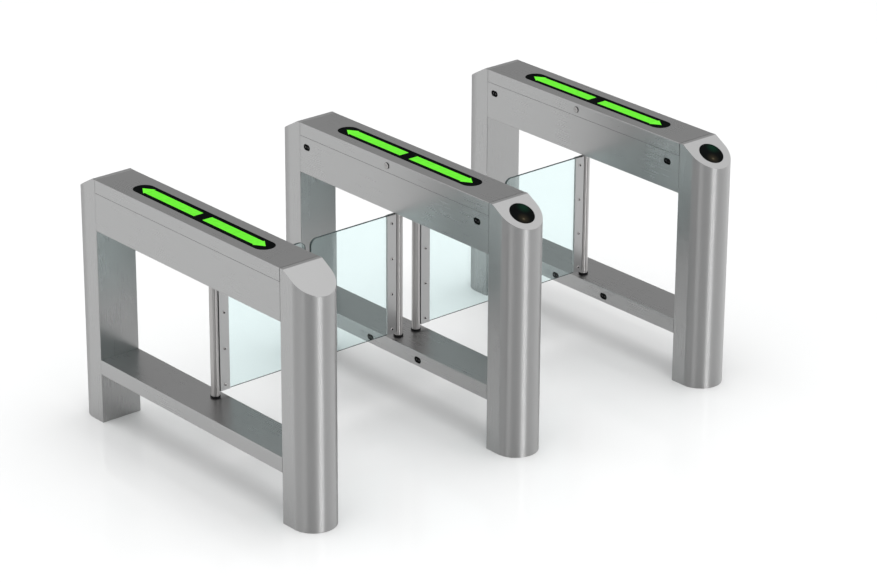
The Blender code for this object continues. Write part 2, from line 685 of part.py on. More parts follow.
def make_wing_glass(name, axis, side):
    """A clear panel with two round outer corners and holes for the clamp screws."""
    tip = WING_TIP - POST_X
    reach = tip - GLASS_CORNER
    lower = arc((reach, GLASS_BOTTOM + GLASS_CORNER), GLASS_CORNER, -math.pi / 2, 0, GLASS_CORNER_STEPS)
    upper = arc((reach, GLASS_TOP - GLASS_CORNER), GLASS_CORNER, 0, math.pi / 2, GLASS_CORNER_STEPS)
    outline = [(CLAMP_START, GLASS_BOTTOM)] + lower + upper + [(CLAMP_START, GLASS_TOP)]
    outline = [(side * x, z) for x, z in outline]
    glass = prism(outline, -GLASS_THICKNESS / 2, GLASS_THICKNESS / 2, "y")
    carve(glass, screw_holes(side, GLASS_HOLE_RADIUS))
    finish_piece(glass, f"{name}_wing_glass", "clear_glass", axis)


def make_lower_bush(name, frame, side):
    """The black bush in the lower beam, with the collar that shows round the post's foot."""
    centre = (side * POST_X, WING_SHIFT)
    collar_low = LOWER_BEAM_TOP + FIT_GAP
    collar_high = collar_low + BUSH_COLLAR
    low = LOWER_BEAM_TOP - BUSH_DEPTH
    bush = rod(BUSH_COLLAR_RADIUS, ROUND_SIDES, centre, collar_low, collar_high)
    combine(bush, [rod(BUSH_RADIUS, HIDDEN_SIDES, centre, low, collar_high - PART_SINK)])
    bore = rod(SPINDLE_RADIUS + FIT_GAP, HIDDEN_SIDES, centre, low - OVERRUN, collar_high + OVERRUN)
    carve(bush, [bore])
    finish_piece(bush, f"{name}_lower_bush", "black_plastic", frame)


def make_gearmotor(name, frame, side):
    """A square gearbox with a mounting flange, the round motor on it and the encoder cap."""
    place = Matrix.Translation((side * POST_X, WING_SHIFT, MOTOR_FLOOR))
    motor_base = GEARBOX_HEIGHT - PART_SINK
    motor_top = GEARBOX_HEIGHT + MOTOR_HEIGHT
    drive = prism(chamfered_square(GEARBOX_SIDE, GEARBOX_CORNER), 0, GEARBOX_HEIGHT)
    flange = prism(chamfered_square(MOTOR_FLANGE_SIDE, GEARBOX_CORNER), 0, MOTOR_FLANGE_HEIGHT)
    motor = rod(MOTOR_RADIUS, HIDDEN_SIDES, (0, 0), motor_base, motor_top)
    encoder = rod(ENCODER_RADIUS, HIDDEN_SIDES, (0, 0), motor_top - PART_SINK, motor_top + ENCODER_HEIGHT)
    half = PLUG_WIDTH / 2
    plug_low = motor_top - PLUG_HEIGHT - PLUG_REACH
    plug = block((-half, 0, plug_low), (half, MOTOR_RADIUS + PLUG_REACH, plug_low + PLUG_HEIGHT))
    combine(drive, [flange, motor, encoder, plug])
    bore_top = POST_TOP + SPINDLE_LENGTH - MOTOR_FLOOR + 2 * FIT_GAP
    carve(drive, [rod(SPINDLE_RADIUS + FIT_GAP, HIDDEN_SIDES, (0, 0), -OVERRUN, bore_top)])
    drive.data.transform(place)
    finish_piece(drive, f"{name}_gearmotor", "dark_steel", frame)


# The whole set


def make_cover_group(pedestal, frame):
    """The cover and what turns with it, about the pivot pins, and the lock about its barrel."""
    pivot = (pedestal.hinge * PIVOT_X, 0, PIVOT_Z)
    hinge = axis_marker(f"{pedestal.name}_cover_axis", pivot, frame)
    make_top_cover(pedestal, hinge, pivot)
    make_display_window(pedestal, hinge, pivot)
    make_arrow_light(pedestal, hinge, pivot)
    barrel = (-pedestal.hinge * HALF_WIDTH, LOCK_SHIFT, LOCK_Z)
    turn = axis_marker(f"{pedestal.name}_lock_axis", Vector(barrel) - Vector(pivot), hinge)
    make_cover_lock(pedestal, turn, barrel)


def make_lane_side(pedestal, frame, side):
    """What a pedestal carries towards one walkway: a wing, its drive and bush, and two sensor bars."""
    name = pedestal.lanes[side]
    axis = axis_marker(f"{name}_wing_axis", (side * POST_X, WING_SHIFT, 0), frame)
    make_wing_post(name, axis, side)
    make_clamp_strip(name, axis, side)
    make_wing_glass(name, axis, side)
    make_lower_bush(name, frame, side)
    make_gearmotor(name, frame, side)
    for level in ("upper", "lower"):
        make_sensor_bar(pedestal, frame, side, level)


def make_pedestal(pedestal):
    """One bridge pedestal with all that it carries."""
    frame = axis_marker(f"{pedestal.name}_pedestal", (pedestal.place * LANE_PITCH, 0, 0))
    for end_name in ENDS:
        make_leg(pedestal, frame, end_name)
    for end_name in pedestal.readers:
        make_reader(pedestal, frame, end_name)
    make_upper_beam(pedestal, frame)
    make_lower_beam(pedestal, frame)
    make_control_board(pedestal, frame)
    make_cover_group(pedestal, frame)
    for side in pedestal.lanes:
        make_lane_side(pedestal, frame, side)


def main():
    """Build the whole turnstile."""
    clear_scene()
    for pedestal in PEDESTALS:
        make_pedestal(pedestal)


main()
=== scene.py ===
"""Smart turnstile: visible pieces, finishes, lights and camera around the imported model.

Metres, +Z up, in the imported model's frame: X runs across the walkways, Y along the pedestals,
and the front ends, those with the reader windows, are at -Y.
"""

import math
from typing import NamedTuple

import bmesh
import bpy
from bpy.props import FloatProperty, FloatVectorProperty, PointerProperty
from mathutils import Matrix, Vector


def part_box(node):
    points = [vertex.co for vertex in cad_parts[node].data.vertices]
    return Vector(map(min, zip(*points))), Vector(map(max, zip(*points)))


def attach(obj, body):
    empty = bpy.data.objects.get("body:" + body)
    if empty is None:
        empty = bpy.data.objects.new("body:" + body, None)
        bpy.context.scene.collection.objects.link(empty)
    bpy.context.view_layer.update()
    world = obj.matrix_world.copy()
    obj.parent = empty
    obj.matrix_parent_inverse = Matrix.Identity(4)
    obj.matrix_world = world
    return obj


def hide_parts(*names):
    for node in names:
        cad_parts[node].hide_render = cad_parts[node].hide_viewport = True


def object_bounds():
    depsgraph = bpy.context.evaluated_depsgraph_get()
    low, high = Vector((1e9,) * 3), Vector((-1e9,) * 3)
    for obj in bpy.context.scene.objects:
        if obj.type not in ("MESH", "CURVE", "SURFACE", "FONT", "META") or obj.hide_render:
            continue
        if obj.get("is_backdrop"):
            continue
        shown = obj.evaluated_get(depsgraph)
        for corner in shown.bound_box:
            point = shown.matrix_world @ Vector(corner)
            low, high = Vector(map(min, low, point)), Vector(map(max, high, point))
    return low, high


bl_info = {
    "name": "Smart turnstile",
    "version": (1, 0, 0),
    "blender": (4, 5, 0),
    "location": "View3D > Sidebar > Turnstile",
    "description": "Models the visible pieces of a turnstile set around its packed model",
    "category": "Add Mesh",
}

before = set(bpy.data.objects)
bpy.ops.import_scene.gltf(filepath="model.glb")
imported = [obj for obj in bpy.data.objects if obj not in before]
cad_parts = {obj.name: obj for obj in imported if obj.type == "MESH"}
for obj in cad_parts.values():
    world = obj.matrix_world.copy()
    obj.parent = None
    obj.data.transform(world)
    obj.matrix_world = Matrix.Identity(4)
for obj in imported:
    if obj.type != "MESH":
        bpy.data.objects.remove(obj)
cad_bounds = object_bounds()


class Pedestal(NamedTuple):
    """A pedestal: its place in lane pitches, hinge side, wings by side, and ends with a reader."""

    name: str
    place: int
    hinge: int
    lanes: dict
    readers: tuple


PEDESTALS = (
    Pedestal("left", -1, -1, {1: "left"}, ("rear",)),
    Pedestal("middle", 0, 1, {-1: "middle_left", 1: "middle_right"}, ("front", "rear")),
    Pedestal("right", 1, 1, {-1: "right"}, ("front",)),
)
ENDS = {"front": -1, "rear": 1}
STEEL = "brushed_stainless"

LEG_LOW, LEG_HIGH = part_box("middle_rear_leg")
BEAM_LOW, BEAM_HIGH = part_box("middle_upper_beam")
TUBE_LOW, TUBE_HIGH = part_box("middle_lower_beam")
COVER_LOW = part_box("middle_top_cover")[0]
GLASS_LOW, GLASS_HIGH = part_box("right_wing_glass")
POST_LOW, POST_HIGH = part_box("middle_right_wing_post")
LANE_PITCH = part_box("right_rear_leg")[0].x - LEG_LOW.x

FIT = 0.0003  # between a piece and the opening that it fills
SEAM = 0.0012  # between a cover and the legs
BORE = 0.0093  # radius of the holes for a post's spindle and for a lock's barrel
BUSH_HOLE = 0.0133  # radius of the holes for the bushes
CABLE_HEIGHTS = (0.228, 0.838)
SCREW_LINE = 0.0395  # distance of the clamp screws from a post's axis
# Front and rear place of a sensor bar's eyes, and their height
EYES = {"upper": ((-0.484, 0.507), 0.889), "lower": ((-0.153, 0.131), 0.224)}
# A cover's pins: distance from the middle, and height. Its lock: place along it, and height
PIVOT_X, PIVOT_Z = 0.077, 0.9545
LOCK_PLACE = (0.028, 0.95475)
# An arrow: start, shoulder and length of its head, along the display
ARROW_START, ARROW_SHOULDER, ARROW_HEAD = 0.0253, 0.3223, 0.0421
DISPLAY_FLANGE = 0.0053  # hidden border under the cover


def metres(name, about, value):
    """A length that the user can change."""
    return FloatProperty(name=name, description=about, default=value, unit="LENGTH", precision=4)


def paint(name, about, value):
    """A colour that the user can change."""
    return FloatVectorProperty(
        name=name, description=about, default=value, size=3, subtype="COLOR", min=0, max=1
    )


class TurnstileSizes(bpy.types.PropertyGroup):
    """Sizes of the turnstile's pieces"""

    width: metres("Pedestal width", "Width of a pedestal", LEG_HIGH.x - LEG_LOW.x)
    height: metres("Pedestal height", "Height of a pedestal", LEG_HIGH.z)
    leg_face: metres("Leg face", "Distance of a leg's inner face from the middle", LEG_LOW.y)
    leg_end: metres("Leg end", "Distance of a leg's round side from the middle", LEG_HIGH.y)
    slant_run: metres("Slant run", "Length of the slanted top, seen from above", 0.134)
    slant_angle: FloatProperty(
        name="Slant angle", description="Fall of the slanted top", default=math.radians(30), subtype="ANGLE"
    )
    sheet: metres("Sheet", "Thickness of the steel sheet", 0.0015)
    fold: metres("Fold radius", "Outer radius of the folds in the sheet", 0.0025)
    eye_length: metres("Eye length", "Length of a sensor eye", 0.038)
    eye_height: metres("Eye height", "Height of a sensor eye", 0.025)
    display_length: metres("Display length", "Length of the black window", 0.7914)
    display_width: metres("Display width", "Width of the black window", 0.0834)
    display_shift: metres("Display shift", "Shift of the window towards the rear", 0.005)
    arrow_bar: metres("Arrow bar", "Width of an arrow's bar", 0.0434)
    arrow_head: metres("Arrow head", "Width of an arrow's head", 0.0558)
    reader_radius: metres("Reader radius", "Radius of a reader window", 0.0495)
    reader_place: metres("Reader place", "Distance of a reader's centre down the slant", 0.075)
    post_radius: metres("Post radius", "Radius of a wing's post", 0.016)
    wing_shift: metres("Wing shift", "Shift of the posts towards the rear", 0.012)
    strip_near: metres("Strip start", "Distance of a clamp strip from the post's axis", 0.0175)
    strip_far: metres("Strip end", "Far edge of a clamp strip from the post's axis", 0.0615)
    strip_sheet: metres("Strip sheet", "Thickness of a clamp strip", 0.004)
    screw_radius: metres("Screw head", "Radius of a clamp screw's head", 0.0058)
    glass_sheet: metres("Glass", "Thickness of a glass panel", 0.010)
    glass_corner: metres("Glass corner", "Radius of a glass panel's round corners", 0.028)
    lock_radius: metres("Lock head", "Radius of a cover lock's head", 0.0125)


class TurnstileColours(bpy.types.PropertyGroup):
    """Colours of the turnstile's finishes"""

    steel: paint("Steel", "Brushed stainless steel", (0.41, 0.41, 0.41))
    polished: paint("Polished steel", "Posts and screws", (0.455, 0.445, 0.44))
    glass: paint("Glass", "Tint of the clear glass", (0.825, 0.948, 0.948))
    # Painted shade: the glass edges are given a near-black colour for the dark look light gives them
    glass_edge: paint("Glass edge", "Polished edges of the glass", (0.035, 0.050, 0.050))
    window: paint("Black window", "Display and reader windows", (0.002, 0.0025, 0.0025))
    arrow: paint("Arrow", "Green of the lit arrows", (0.135, 0.77, 0.034))
    nylon: paint("Nylon", "Bushes and lenses", (0.012, 0.012, 0.013))
    board: paint("Circuit board", "Solder resist of the boards", (0.012, 0.10, 0.035))
    motor: paint("Gear motor", "Grey castings of the drives", (0.30, 0.31, 0.32))
    floor: paint("Floor", "Pale studio floor", (0.845, 0.85, 0.85))


# Modelling helpers


def span(side, near, far, middle=0.0):
    """Two distances from a middle on one side of it, as a low and a high place."""
    return sorted((middle + side * near, middle + side * far))


def take(*pieces):
    """Select pieces, the first as the one that operators act on."""
    bpy.ops.object.select_all(action="DESELECT")
    for piece in pieces:
        piece.select_set(True)
    if pieces:
        bpy.context.view_layer.objects.active = pieces[0]


def settle(piece):
    """Put a piece's place, turn and size into its mesh."""
    take(piece)
    bpy.ops.object.transform_apply(location=True, rotation=True, scale=True)
    return piece


def add_block(low, high):
    """A box from its lowest to its highest corner."""
    low, high = Vector(low), Vector(high)
    take()
    bpy.ops.mesh.primitive_cube_add(size=1, location=(low + high) / 2, scale=high - low)
    return settle(bpy.context.object)


def add_slab(side, reach, y, z, middle=0.0):
    """A box on one side of a middle, between two distances from it and two places in Y and in Z."""
    near, far = span(side, *reach, middle)
    return add_block((near, y[0], z[0]), (far, y[1], z[1]))


def add_round(radius, low, high, centre=(0, 0), along="z", sides=64):
    """A round bar along one axis. Its flats, not its edges, face the other two axes."""
    take()
    bpy.ops.mesh.primitive_cylinder_add(
        vertices=sides, radius=radius, depth=high - low, rotation=(0, 0, math.pi / sides)
    )
    piece = settle(bpy.context.object)
    middle = (low + high) / 2
    turns = {"x": (0, math.pi / 2, 0), "y": (math.pi / 2, 0, 0), "z": (0, 0, 0)}
    places = {"x": (middle, *centre), "y": (centre[0], middle, centre[1]), "z": (*centre, middle)}
    piece.rotation_euler = turns[along]
    piece.location = places[along]
    return settle(piece)


def shape(piece, kind, choose, action):
    """In edit mode, select the faces, edges or corners that a test chooses, and act on them."""
    take(piece)
    bpy.ops.object.mode_set(mode="EDIT")
    bpy.ops.mesh.select_mode(type=kind)
    bpy.ops.mesh.select_all(action="DESELECT")
    grid = bmesh.from_edit_mesh(piece.data)
    grid.normal_update()
    for part in {"VERT": grid.verts, "EDGE": grid.edges, "FACE": grid.faces}[kind]:
        if choose(part):
            part.select_set(True)
    bmesh.update_edit_mesh(piece.data)
    action()
    bpy.ops.object.mode_set(mode="OBJECT")
    return piece


def every(part):
    """A test that chooses everything."""
    return True


def faces_towards(x=0, y=0, z=0):
    """A test for the faces that look in one direction."""
    aim = Vector((x, y, z)).normalized()
    return lambda face: face.normal.dot(aim) > 0.999


def edges_above(level, end=min):
    """A test for the edges whose lower end is above a level, or whose higher end is, with end=max."""
    return lambda edge: end(corner.co.z for corner in edge.verts) > level


def edges_along(axis, beyond=None):
    """A test for the straight edges along an axis, and on one side of a plane where given."""
    index = "xyz".index(axis)

    def choose(edge):
        first, second = (corner.co for corner in edge.verts)
        run = second - first
        if abs(run[index]) < 0.999 * run.length:
            return False
        return beyond is None or beyond((first + second) / 2)

    return choose


def corner_edges(degrees):
    """A test for the edges where the surface turns by more than an angle."""
    return lambda edge: edge.is_manifold and edge.calc_face_angle(0) > math.radians(degrees)


def round_edges(piece, choose, radius, steps=3):
    """Round some edges."""
    return shape(
        piece, "EDGE", choose,
        lambda: bpy.ops.mesh.bevel(offset=radius, segments=steps, affect="EDGES", clamp_overlap=True),
    )


def draw_out(piece, choose, travel):
    """Extrude faces along a vector."""
    return shape(
        piece, "FACE", choose,
        lambda: bpy.ops.mesh.extrude_region_move(TRANSFORM_OT_translate={"value": travel}),
    )


def recess(piece, choose, border, depth):
    """Sink faces, leaving a border round them."""
    return shape(piece, "FACE", choose, lambda: bpy.ops.mesh.inset(thickness=border, depth=-depth))


def merge_corners(piece, distance):
    """Make one corner of those that lie closer than a distance."""
    return shape(piece, "VERT", every, lambda: bpy.ops.mesh.remove_doubles(threshold=distance))


def merge_flats(piece):
    """Make one face of those that lie in one plane."""
    merge_corners(piece, 0.00005)
    flat = math.radians(0.5)
    return shape(piece, "FACE", every, lambda: bpy.ops.mesh.dissolve_limited(angle_limit=flat))


def slice_off(piece, point, normal):
    """Cut away what lies beyond a plane, and close the cut."""
    return shape(
        piece, "FACE", every,
        lambda: bpy.ops.mesh.bisect(plane_co=point, plane_no=normal, use_fill=True, clear_outer=True),
    )


def open_faces(piece, choose):
    """Delete faces, so that a sheet is left."""
    return shape(piece, "FACE", choose, lambda: bpy.ops.mesh.delete(type="FACE"))


def add_dome(radius, height, place, towards, sides=24):
    """A flat dome that stands on a plane and looks along a direction."""
    towards = Vector(towards)
    take()
    bpy.ops.mesh.primitive_uv_sphere_add(segments=sides, ring_count=sides // 2, radius=radius)
    dome = bpy.context.object
    dome.scale = [height / radius if abs(part) > 0.5 else 1 for part in towards]
    dome.location = place
    return slice_off(settle(dome), place, -towards)


def add_slot(length, width, low, high, centre, along, sides=48):
    """A slot-shaped block, long in Y, standing along X or Z: a round whose halves are pulled apart."""
    piece = add_round(width / 2, low, high, centre, along, sides)
    middle = centre[0] if along == "x" else centre[1]
    for side in (-1, 1):
        travel = (0, side * (length - width) / 2, 0)
        shape(
            piece, "VERT", lambda corner, side=side: (corner.co.y - middle) * side > 0,
            lambda travel=travel: bpy.ops.transform.translate(value=travel),
        )
    return piece


def apply_modifier(piece, kind, **settings):
    """Add a modifier and apply it."""
    change = piece.modifiers.new(kind.title(), kind)
    for name, value in settings.items():
        setattr(change, name, value)
    take(piece)
    bpy.ops.object.modifier_apply(modifier=change.name)
    return piece


def thicken(piece, sheet):
    """Give an open sheet its thickness, inwards."""
    return apply_modifier(piece, "SOLIDIFY", thickness=sheet, offset=-1, use_even_offset=True)


def combine(piece, others, operation):
    """Cut solids out of a piece, or weld them to it."""
    group = bpy.data.collections.new("helpers")
    bpy.context.scene.collection.children.link(group)
    for other in others:
        group.objects.link(other)
    apply_modifier(
        piece, "BOOLEAN", operation=operation, solver="EXACT", operand_type="COLLECTION", collection=group
    )
    drop(*others)
    bpy.data.collections.remove(group)
    return piece


def cut(piece, *cutters):
    return combine(piece, cutters, "DIFFERENCE")


def weld(piece, *others):
    return combine(piece, others, "UNION")


def join(piece, *others):
    """Make several bodies one piece."""
    take(piece, *others)
    bpy.ops.object.join()
    return piece


def twin(piece, travel=(0, 0, 0), half_turn=False):
    """A copy with its own mesh, turned by half a turn about Z where asked, then moved."""
    take(piece)
    bpy.ops.object.duplicate()
    copy = bpy.context.object
    if half_turn:
        bpy.ops.transform.rotate(value=math.pi, orient_axis="Z", center_override=(0, 0, 0))
    bpy.ops.transform.translate(value=travel)
    return settle(copy)


def move(piece, stand):
    """Move a piece to its pedestal."""
    take(piece)
    bpy.ops.transform.translate(value=(stand.place * LANE_PITCH, 0, 0))
    return settle(piece)


def drop(*pieces):
    """Remove cutters, and patterns that were only there to be copied."""
    for piece in pieces:
        bpy.data.objects.remove(piece, do_unlink=True)


def coat(piece, material):
    """Give a whole piece one material."""
    piece.data.materials.clear()
    return coat_faces(piece, material, every)


def coat_faces(piece, material, choose):
    """Give the faces that a test chooses another material."""
    piece.data.materials.append(material)
    index = len(piece.data.materials) - 1
    for face in piece.data.polygons:
        if choose(face):
            face.material_index = index
    return piece


def finish(piece, name, body, material, slot, *replaced):
    """Name a piece, shade it, give it its material and hang it on its body."""
    piece.name = piece.data.name = name
    take(piece)
    bpy.ops.object.shade_smooth_by_angle(angle=math.radians(30))
    apply_modifier(piece, "WEIGHTED_NORMAL", keep_sharp=True, weight=100)
    if material is not None:
        coat(piece, material)
    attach(piece, body)
    if replaced:
        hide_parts(*replaced)
    return piece


# Materials: patterns read Object coordinates, in metres


def once(build):
    """Makes a material's builder run once for each name."""

    def find_or_build(name, *values, **settings):
        if name not in bpy.data.materials:
            material = bpy.data.materials.new(name)
            material.use_nodes = True
            tree = material.node_tree
            build(tree, tree.nodes["Principled BSDF"], *values, **settings)
        return bpy.data.materials[name]

    return find_or_build


def feed(tree, node, values):
    """Set a node's inputs, and link those whose value is another node's output."""
    for key, value in values.items():
        if isinstance(value, bpy.types.NodeSocket):
            tree.links.new(value, node.inputs[key])
        else:
            node.inputs[key].default_value = value


def add_node(tree, kind, values, **settings):
    """Add a node with its settings, and feed it."""
    node = tree.nodes.new(kind)
    for name, value in settings.items():
        setattr(node, name, value)
    feed(tree, node, values)
    return node


def speckle(tree, scale, detail=3.0, rough=0.55, stretch=(1, 1, 1)):
    """A noise pattern, finer along some axes than along others."""
    place = tree.nodes.new("ShaderNodeTexCoord").outputs["Object"]
    grid = add_node(tree, "ShaderNodeMapping", {"Vector": place, "Scale": stretch}).outputs["Vector"]
    values = {"Vector": grid, "Scale": scale, "Detail": detail, "Roughness": rough}
    return add_node(tree, "ShaderNodeTexNoise", values).outputs["Fac"]


def spread(tree, value, low, high):
    """Map a pattern to a range of values."""
    values = {"Value": value, "From Min": 0.25, "From Max": 0.75, "To Min": low, "To Max": high}
    return add_node(tree, "ShaderNodeMapRange", values).outputs["Result"]


def ramp(tree, value, stops, blend="LINEAR"):
    """Colours along a value."""
    node = add_node(tree, "ShaderNodeValToRGB", {"Fac": value})
    node.color_ramp.interpolation = blend
    levels = node.color_ramp.elements
    while len(levels) < len(stops):
        levels.new(1.0)
    for level, (place, colour) in zip(levels, stops):
        level.position = place
        level.color = (*colour, 1)
    return node.outputs["Color"]


def scaled(colour, share):
    return tuple(min(1.0, part * share) for part in colour)


def tone(tree, value, colour, dark, light):
    """A colour between two shares of itself, by a pattern."""
    return ramp(tree, value, ((0.3, scaled(colour, dark)), (0.7, scaled(colour, light))))


def emboss(tree, value, strength, depth):
    values = {"Height": value, "Strength": strength, "Distance": depth}
    return add_node(tree, "ShaderNodeBump", values).outputs["Normal"]


@once
def brushed_metal(tree, shader, colour, grain, rough, contrast=0.008, upright=0.0):
    """Metal with fine brushing lines along one axis and faint handling marks."""
    fine = {"x": (4, 500, 500), "y": (500, 4, 500), "z": (500, 500, 4)}[grain]
    lines = speckle(tree, 1.0, 2.0, 0.6, fine)
    marks = speckle(tree, 6.0, 2.0, 0.5)
    both = {0: spread(tree, lines, rough - 0.008, rough + 0.008), 1: spread(tree, marks, -0.008, 0.008)}
    feed(tree, shader, {
        "Metallic": 1.0,
        "Base Color": tone(tree, marks, colour, 1 - contrast, 1 + contrast),
        "Roughness": add_node(tree, "ShaderNodeMath", both, operation="ADD").outputs["Value"],
        "Normal": emboss(tree, lines, 0.025, 0.0002),
    })
    if upright:
        around = add_node(tree, "ShaderNodeTangent", {}, direction_type="RADIAL", axis="Z").outputs["Tangent"]
        feed(tree, shader, {"Tangent": around, "Anisotropic": upright, "Anisotropic Rotation": 0.25})


@once
def smooth_plastic(tree, shader, colour, rough, grain=900.0, depth=0.0001, gloss=0.3):
    """Moulded plastic with a fine texture."""
    texture = speckle(tree, grain, 2.0)
    patches = speckle(tree, 25.0, 3.0)
    feed(tree, shader, {
        "Base Color": tone(tree, patches, colour, 0.85, 1.2),
        "Roughness": spread(tree, patches, rough - 0.04, rough + 0.06),
        "Specular IOR Level": gloss,
        "Normal": emboss(tree, texture, 0.15, depth),
    })


def dusty_gloss(tree, shader, colour, gloss):
    """Polished black with a trace of dust in its gloss."""
    dust = speckle(tree, 60.0, 5.0, 0.7)
    feed(tree, shader, {
        "Base Color": tone(tree, dust, colour, 1, 1.8),
        "Roughness": spread(tree, dust, 0.08, 0.16),
        "Specular IOR Level": gloss,
    })


black_window = once(dusty_gloss)


def soft_spot(tree, place, centre, reach, colour):
    """A spot of colour that fades with the distance from its centre."""
    distance = add_node(tree, "ShaderNodeVectorMath", {0: place, 1: (*centre, 0)}, operation="DISTANCE")
    values = {"Value": distance.outputs["Value"], "From Max": reach, "To Min": 1, "To Max": 0}
    fade = add_node(tree, "ShaderNodeMapRange", values, interpolation_type="SMOOTHSTEP").outputs["Result"]
    spot = add_node(tree, "ShaderNodeVectorMath", {0: colour, "Scale": fade}, operation="SCALE")
    return spot.outputs["Vector"]


@once
def reader_window(tree, shader, colour):
    """Dark glass that gives off a painted green glow near its top and a painted amber glint low down: painted
    reflections.
    """
    dusty_gloss(tree, shader, colour, 0.01)
    face = add_node(tree, "ShaderNodeUVMap", {}, uv_map="face").outputs["UV"]
    # Painted light: the glass itself shines green near the top and amber low down, in place of reflections
    painted_glow = soft_spot(tree, face, (0.50, 0.46), 0.70, (0.001, 0.022, 0.010))
    painted_amber_glints = (((-0.20, -0.48), 0.62, (0.026, 0.020, 0.011)), ((-0.22, -0.50), 0.16, (0.075, 0.062, 0.040)))
    for centre, reach, hue in painted_amber_glints:
        spots = {0: painted_glow, 1: soft_spot(tree, face, centre, reach, hue)}
        painted_glow = add_node(tree, "ShaderNodeVectorMath", spots).outputs["Vector"]
    feed(tree, shader, {"Emission Color": painted_glow, "Emission Strength": 1.0})


@once
def lit_green(tree, shader, colour, power):
    """A lit plastic face, a little brighter in some places."""
    cells = speckle(tree, 55.0, 2.0)
    feed(tree, shader, {
        "Base Color": tone(tree, cells, colour, 0.10, 0.12),
        "Emission Color": tone(tree, cells, colour, 0.94, 1.06),
        "Emission Strength": power,
        "Specular IOR Level": 0.01,
        "Roughness": spread(tree, cells, 0.25, 0.35),
    })


@once
def clear_glass(tree, shader, colour):
    """Clear glass with a faint film."""
    film = speckle(tree, 14.0, 4.0)
    feed(tree, shader, {
        "Base Color": tone(tree, film, colour, 0.985, 1),
        "Roughness": spread(tree, film, 0.0, 0.03),
        "Transmission Weight": 1.0,
        "IOR": 1.5,
    })


@once
def pale_floor(tree, shader, colour):
    """A smooth floor with faint marks."""
    marks = speckle(tree, 2.0, 3.0)
    feed(tree, shader, {
        "Base Color": tone(tree, marks, colour, 0.99, 1),
        "Roughness": spread(tree, marks, 0.06, 0.10),
    })


def finishes():
    """All materials, made once from the user's colours."""
    colours = bpy.context.scene.turnstile_colours
    hues = {name: tuple(getattr(colours, name)) for name in TurnstileColours.__annotations__}
    steel, polished, window, green, nylon, motor = (
        hues[name] for name in ("steel", "polished", "window", "arrow", "nylon", "motor")
    )
    return {
        # Painted light and shade on the legs: their flats take 0.88 and their slant tops 1.06 of the round
        # faces' steel colour
        "leg": brushed_metal("stainless_leg", steel, "z", 0.48, upright=0.97),
        "flat": brushed_metal("stainless_flat", scaled(steel, 0.88), "z", 0.28),
        "slant": brushed_metal("stainless_slant", scaled(steel, 1.06), "x", 0.30),
        "side": brushed_metal("stainless_beam", scaled(steel, 0.88), "y", 0.28),
        "cover": brushed_metal("stainless_cover", scaled(steel, 0.88), "y", 0.28),
        "strip": brushed_metal("stainless_strip", scaled(steel, 0.98), "z", 0.30),
        "pad": smooth_plastic("clamp_pad", (0.5, 0.51, 0.51), 0.55, gloss=0.3),
        "post": brushed_metal("polished_post", polished, "z", 0.34, upright=1.0),
        "screw": brushed_metal("polished_screw", scaled(polished, 1.25), "y", 0.22, 0.02),
        "lock": brushed_metal("polished_lock", scaled(polished, 0.76), "x", 0.30),
        # Painted shade: near-black coat for the inside of the screw sockets
        "socket": smooth_plastic("dark_socket", (0.01, 0.01, 0.01), 0.6, gloss=0.05),
        "glass": clear_glass("clear_panel", hues["glass"]),
        # Painted shade: near-black glossy material for the glass edges
        "edge": smooth_plastic("glass_edge", hues["glass_edge"], 0.12, 300.0, 0.00002, 0.2),
        "window": black_window("dark_window", window, 0.001),
        "reader": reader_window("reader_window", window),
        "arrow": lit_green("lit_arrow", green, 1.0),
        # Painted highlight: the arrows' borders glow a little brighter than their faces
        "rim_painted_highlight": lit_green("lit_rim", green, 1.1),
        "nylon": smooth_plastic("nylon_parts", nylon, 0.45, gloss=0.12),
        "lens": black_window("sensor_lens", window, 0.01),
        "bead": black_window("sensor_bead", window, 0.35),
        "rubber": smooth_plastic("black_rubber", scaled(nylon, 0.8), 0.75, gloss=0.1),
        "board": smooth_plastic("board_lacquer", hues["board"], 0.35, 240.0, 0.0002, 0.4),
        "casting": smooth_plastic("cast_grey", motor, 0.5, 700.0, 0.0003, 0.5),
        "motor": brushed_metal("motor_can", motor, "z", 0.42),
        "relay": smooth_plastic("relay_blue", (0.015, 0.055, 0.16), 0.35, gloss=0.4),
        "terminal": smooth_plastic("terminal_green", (0.03, 0.22, 0.07), 0.45, gloss=0.4),
        "supply": brushed_metal("supply_case", (0.55, 0.56, 0.57), "y", 0.38),
    }


# Pieces


def column(inset, sizes):
    """A rear leg as a solid, smaller by an inset all round: half-round, then straight, then the slant."""
    centre = sizes.leg_end - sizes.width / 2
    low = 0 if inset == 0 else 0.006
    body = add_round(sizes.width / 2 - inset, low, sizes.height - inset, (0, centre), sides=96)
    slice_off(body, (0, centre, 0), (0, -1, 0))
    draw_out(body, faces_towards(y=-1), (0, sizes.leg_face + inset - centre, 0))
    slope = Vector((0, math.sin(sizes.slant_angle), math.cos(sizes.slant_angle)))
    start = Vector((0, sizes.leg_end - sizes.slant_run, sizes.height)) - slope * inset
    return slice_off(body, start, slope)


def leg_pattern(sizes):
    """A hollow rear leg with rounded edges and its base holes."""
    body = merge_flats(column(0, sizes))
    round_edges(body, edges_along("z", lambda at: at.y < sizes.leg_face + 0.001), 0.0018, 4)
    round_edges(body, lambda edge: corner_edges(25)(edge) and edges_above(0.5)(edge), 0.0008, 2)
    centre = sizes.leg_end - sizes.width / 2
    holes = [add_round(0.024, -0.01, 0.02, (0, centre))]
    holes += [add_round(0.0065, -0.01, 0.02, (side * 0.056, centre), sides=32) for side in (-1, 1)]
    return cut(body, column(sizes.sheet, sizes), *holes)


def is_flat(face, inner):
    """A test for a leg's flat sides and its inner face."""
    return abs(face.normal.x) > 0.999 or abs(face.normal.y) > 0.999 and abs(face.center.y) < inner + 0.002


